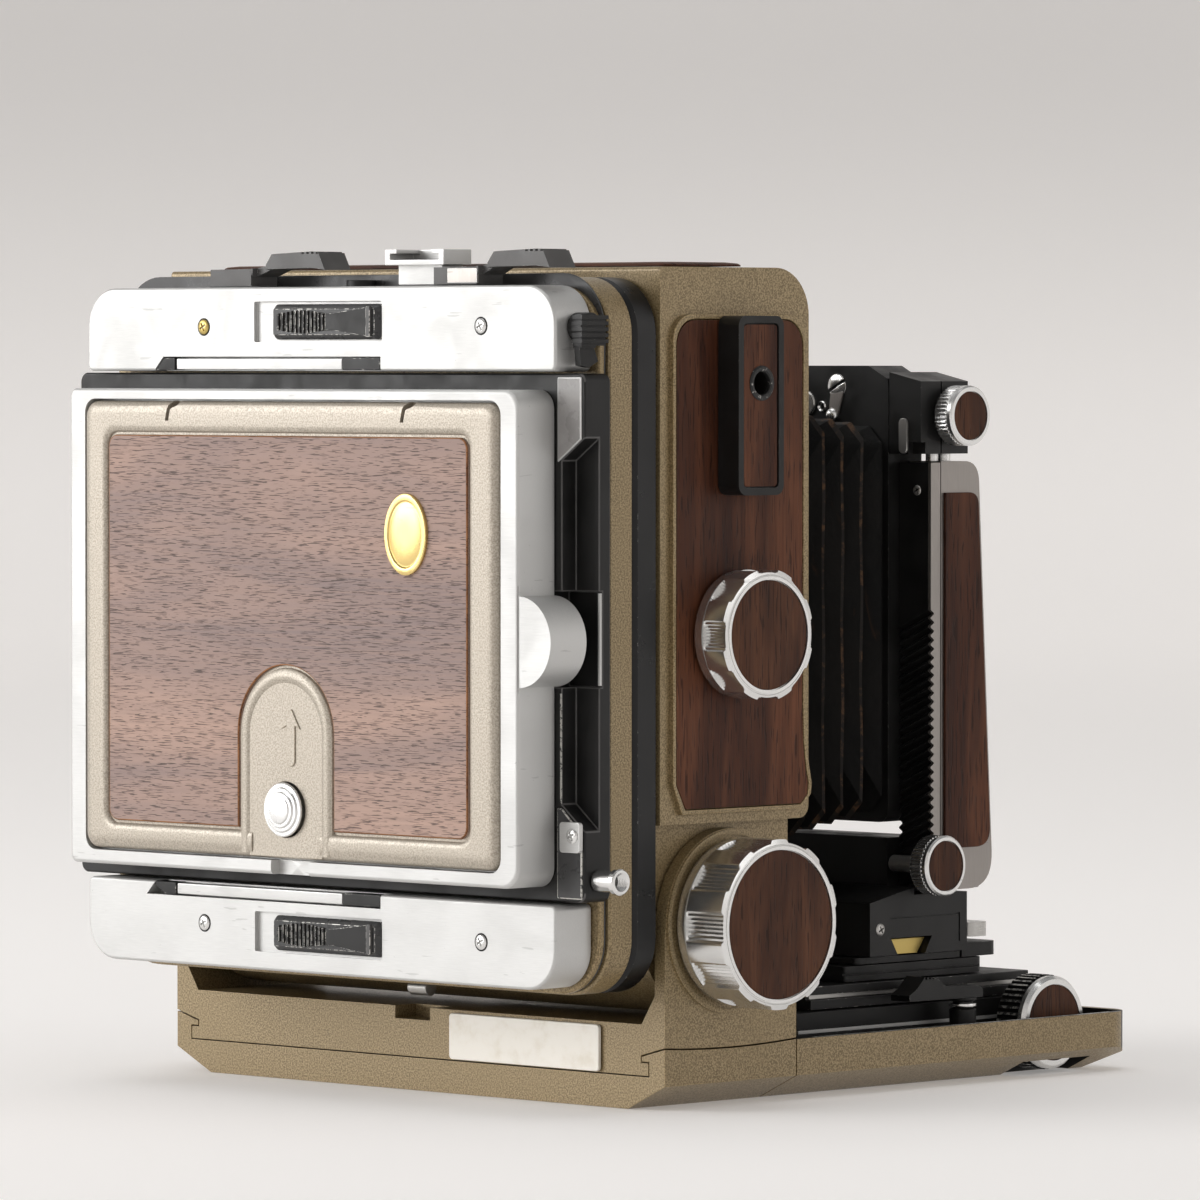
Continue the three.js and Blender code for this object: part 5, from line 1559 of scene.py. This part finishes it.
def bellows_ring(y, wall):
    share = (y - CUTS[0]) / (CUTS[-1] - CUTS[0])
    phase = share * PLEATS
    wave = abs((phase % 1.0) * 2 - 1)
    depth = FOLD * (1 - wave) + wall
    ring = []
    for u, v in bellows_outline(share, depth):
        sag = 0.35 * math.sin(u * 0.21 + y * 1.3) * math.sin(v * 0.17 + y * 0.7)
        ring.append((u * (1 + 0.004 * sag), y + 0.5 * sag * (1 if CUTS[0] + 1 < y < CUTS[-1] - 1 else 0),
                     v + 0.3 * sag))
    return ring


def bellows_section(low, high):
    """Closed double-walled sleeve between two distances along Y."""
    turns = CUTS[0] + np.arange(0, PLEATS * 2 + 1) * (CUTS[-1] - CUTS[0]) / (PLEATS * 2)
    stations = sorted({low, high, *[float(t) for t in turns if low + 0.4 < t < high - 0.4],
                       *[float(t) + d for t in turns for d in (-0.35, 0.35)
                         if low + 0.4 < t + d < high - 0.4]})
    outer = [bellows_ring(y, 0.0) for y in stations]
    inner = [bellows_ring(y, 0.9) for y in reversed(stations)]
    rows = outer + inner
    count = len(rows[0])
    verts = [p for row in rows for p in row]
    faces = []
    for k in range(len(rows)):
        m = (k + 1) % len(rows)
        for i in range(count):
            j = (i + 1) % count
            faces.append((k * count + i, k * count + j, m * count + j, m * count + i))
    return verts, faces


def make_bellows():
    for k, (low, high) in enumerate(zip(CUTS, CUTS[1:])):
        made = raw_object(f"bellows_fold_{k}", bellows_section(low, high))
        made.data.materials.append(LEATHER)
        repaint(made, CREASE, lambda u, v, w,
                n: abs((v - CUTS[0]) / PLEAT_RUN % 1.0 - 0.5) > 0.5 - CREASE_SHARE)
        shade(made, 12)
        if k == 0:
            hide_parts("bellows")
        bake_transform(made)
    for name, y, body in (("bellows_rim_rear", CUTS[0], "camera_body"),
                          ("bellows_rim_front", CUTS[-1], "lens_frame")):
        way = -1 if body == "camera_body" else 1
        share = 0 if way < 0 else 1
        low, high = sorted((y, y + way * 1.2))
        ring = prism(bellows_outline(share, 0.2), "y", low, high)
        hole = prism(bellows_outline(share, FOLD + 0.4), "y", low - 2, high + 2)
        piece(name, ring, [hole], BLACK, body, 0)


make_bellows()


# ---------------------------------------------------------------- floor and light
def pale_paper(name, color, roughness=0.9):
    """Matt studio paper with painted light: an emission glow, stronger farther out and weaker up the
    rising wall, stands in for lamp light.
    """
    paint = Paint(name, color, roughness)
    mottle = paint.noise(400, 2.0, 0.5)
    paint.set("Base Color", paint.mix(paint.ramp(mottle, 0.3, 0.7, 0.0, 0.3), color,
                                      tuple(c * 0.97 for c in color)))
    split = paint.node("ShaderNodeSeparateXYZ")
    paint.plug(split.inputs[0], paint.place)
    length = paint.node("ShaderNodeVectorMath", operation="LENGTH")
    paint.plug(length.inputs[0], paint.place)
    # Painted light: emission that grows with distance from the centre and fades where the sweep rises.
    painted_glow = paint.math("MULTIPLY", paint.ramp(length.outputs["Value"], 0.6, 3.4, 0.21, 0.36),
                      paint.ramp(split.outputs["Z"], 0.05, 0.42, 1.0, 0.40))
    paint.set("Emission Color", (1.0, 0.965, 0.94))
    paint.set("Emission Strength", painted_glow)
    return paint.material


def make_stage():
    """Pale sweep: a flat floor that curves up into a wall far outside every view."""
    rings, steps = [], 96
    flat, lift, top = 3.2, 1.4, 3.6
    profile = [(0.5, 0), (1.5, 0), (flat, 0)]
    profile += [(flat + lift * math.sin(math.radians(a)), lift * (1 - math.cos(math.radians(a))))
                for a in range(6, 91, 6)]
    profile.append((flat + lift, top))
    verts, faces = [(0, 0, 0)], []
    for radius, height in profile:
        row = []
        for i in range(steps):
            a = 2 * math.pi * i / steps
            row.append(len(verts))
            verts.append((radius * math.cos(a), radius * math.sin(a), height))
        rings.append(row)
    for i in range(steps):
        j = (i + 1) % steps
        faces.append((0, rings[0][i], rings[0][j]))
        for low, high in zip(rings, rings[1:]):
            faces.append((low[i], high[i], high[j], low[j]))
    mesh = bpy.data.meshes.new("sweep")
    mesh.from_pydata(verts, [], faces)
    floor = bpy.data.objects.new("sweep", mesh)
    floor.location.z = cad_low.z - 0.0001
    mesh.materials.append(pale_paper("pale_floor", (0.80, 0.785, 0.772)))
    mesh.polygons.foreach_set("use_smooth", [True] * len(mesh.polygons))
    bpy.context.scene.collection.objects.link(floor)


def lamp(name, place, aim, size, power, color=(1, 1, 1)):
    data = bpy.data.lights.new(name, "AREA")
    data.shape = "RECTANGLE"
    data.size, data.size_y = size
    data.energy = power
    data.color = color
    made = bpy.data.objects.new(name, data)
    bpy.context.scene.collection.objects.link(made)
    made.location = place
    made.rotation_euler = (Vector(aim) - Vector(place)).to_track_quat("-Z", "Y").to_euler()
    made.visible_camera = False
    return made


def make_light():
    world = bpy.data.worlds.new("studio")
    bpy.context.scene.world = world
    world.use_nodes = True
    background = world.node_tree.nodes["Background"]
    background.inputs["Color"].default_value = (1.0, 0.985, 0.97, 1)
    background.inputs["Strength"].default_value = 0.28
    middle = (0, 0, 0.10)
    lamp("key_left", (-1.6, -1.8, 0.78), middle, (1.7, 1.35), 39)
    lamp("fill_right", (1.9, 1.1, 0.7), middle, (1.2, 1.2), 3)
    lamp("top", (-0.2, 0.1, 1.9), middle, (1.6, 1.6), 11)
    bpy.context.scene.view_settings.view_transform = "Standard"


make_stage()
make_light()
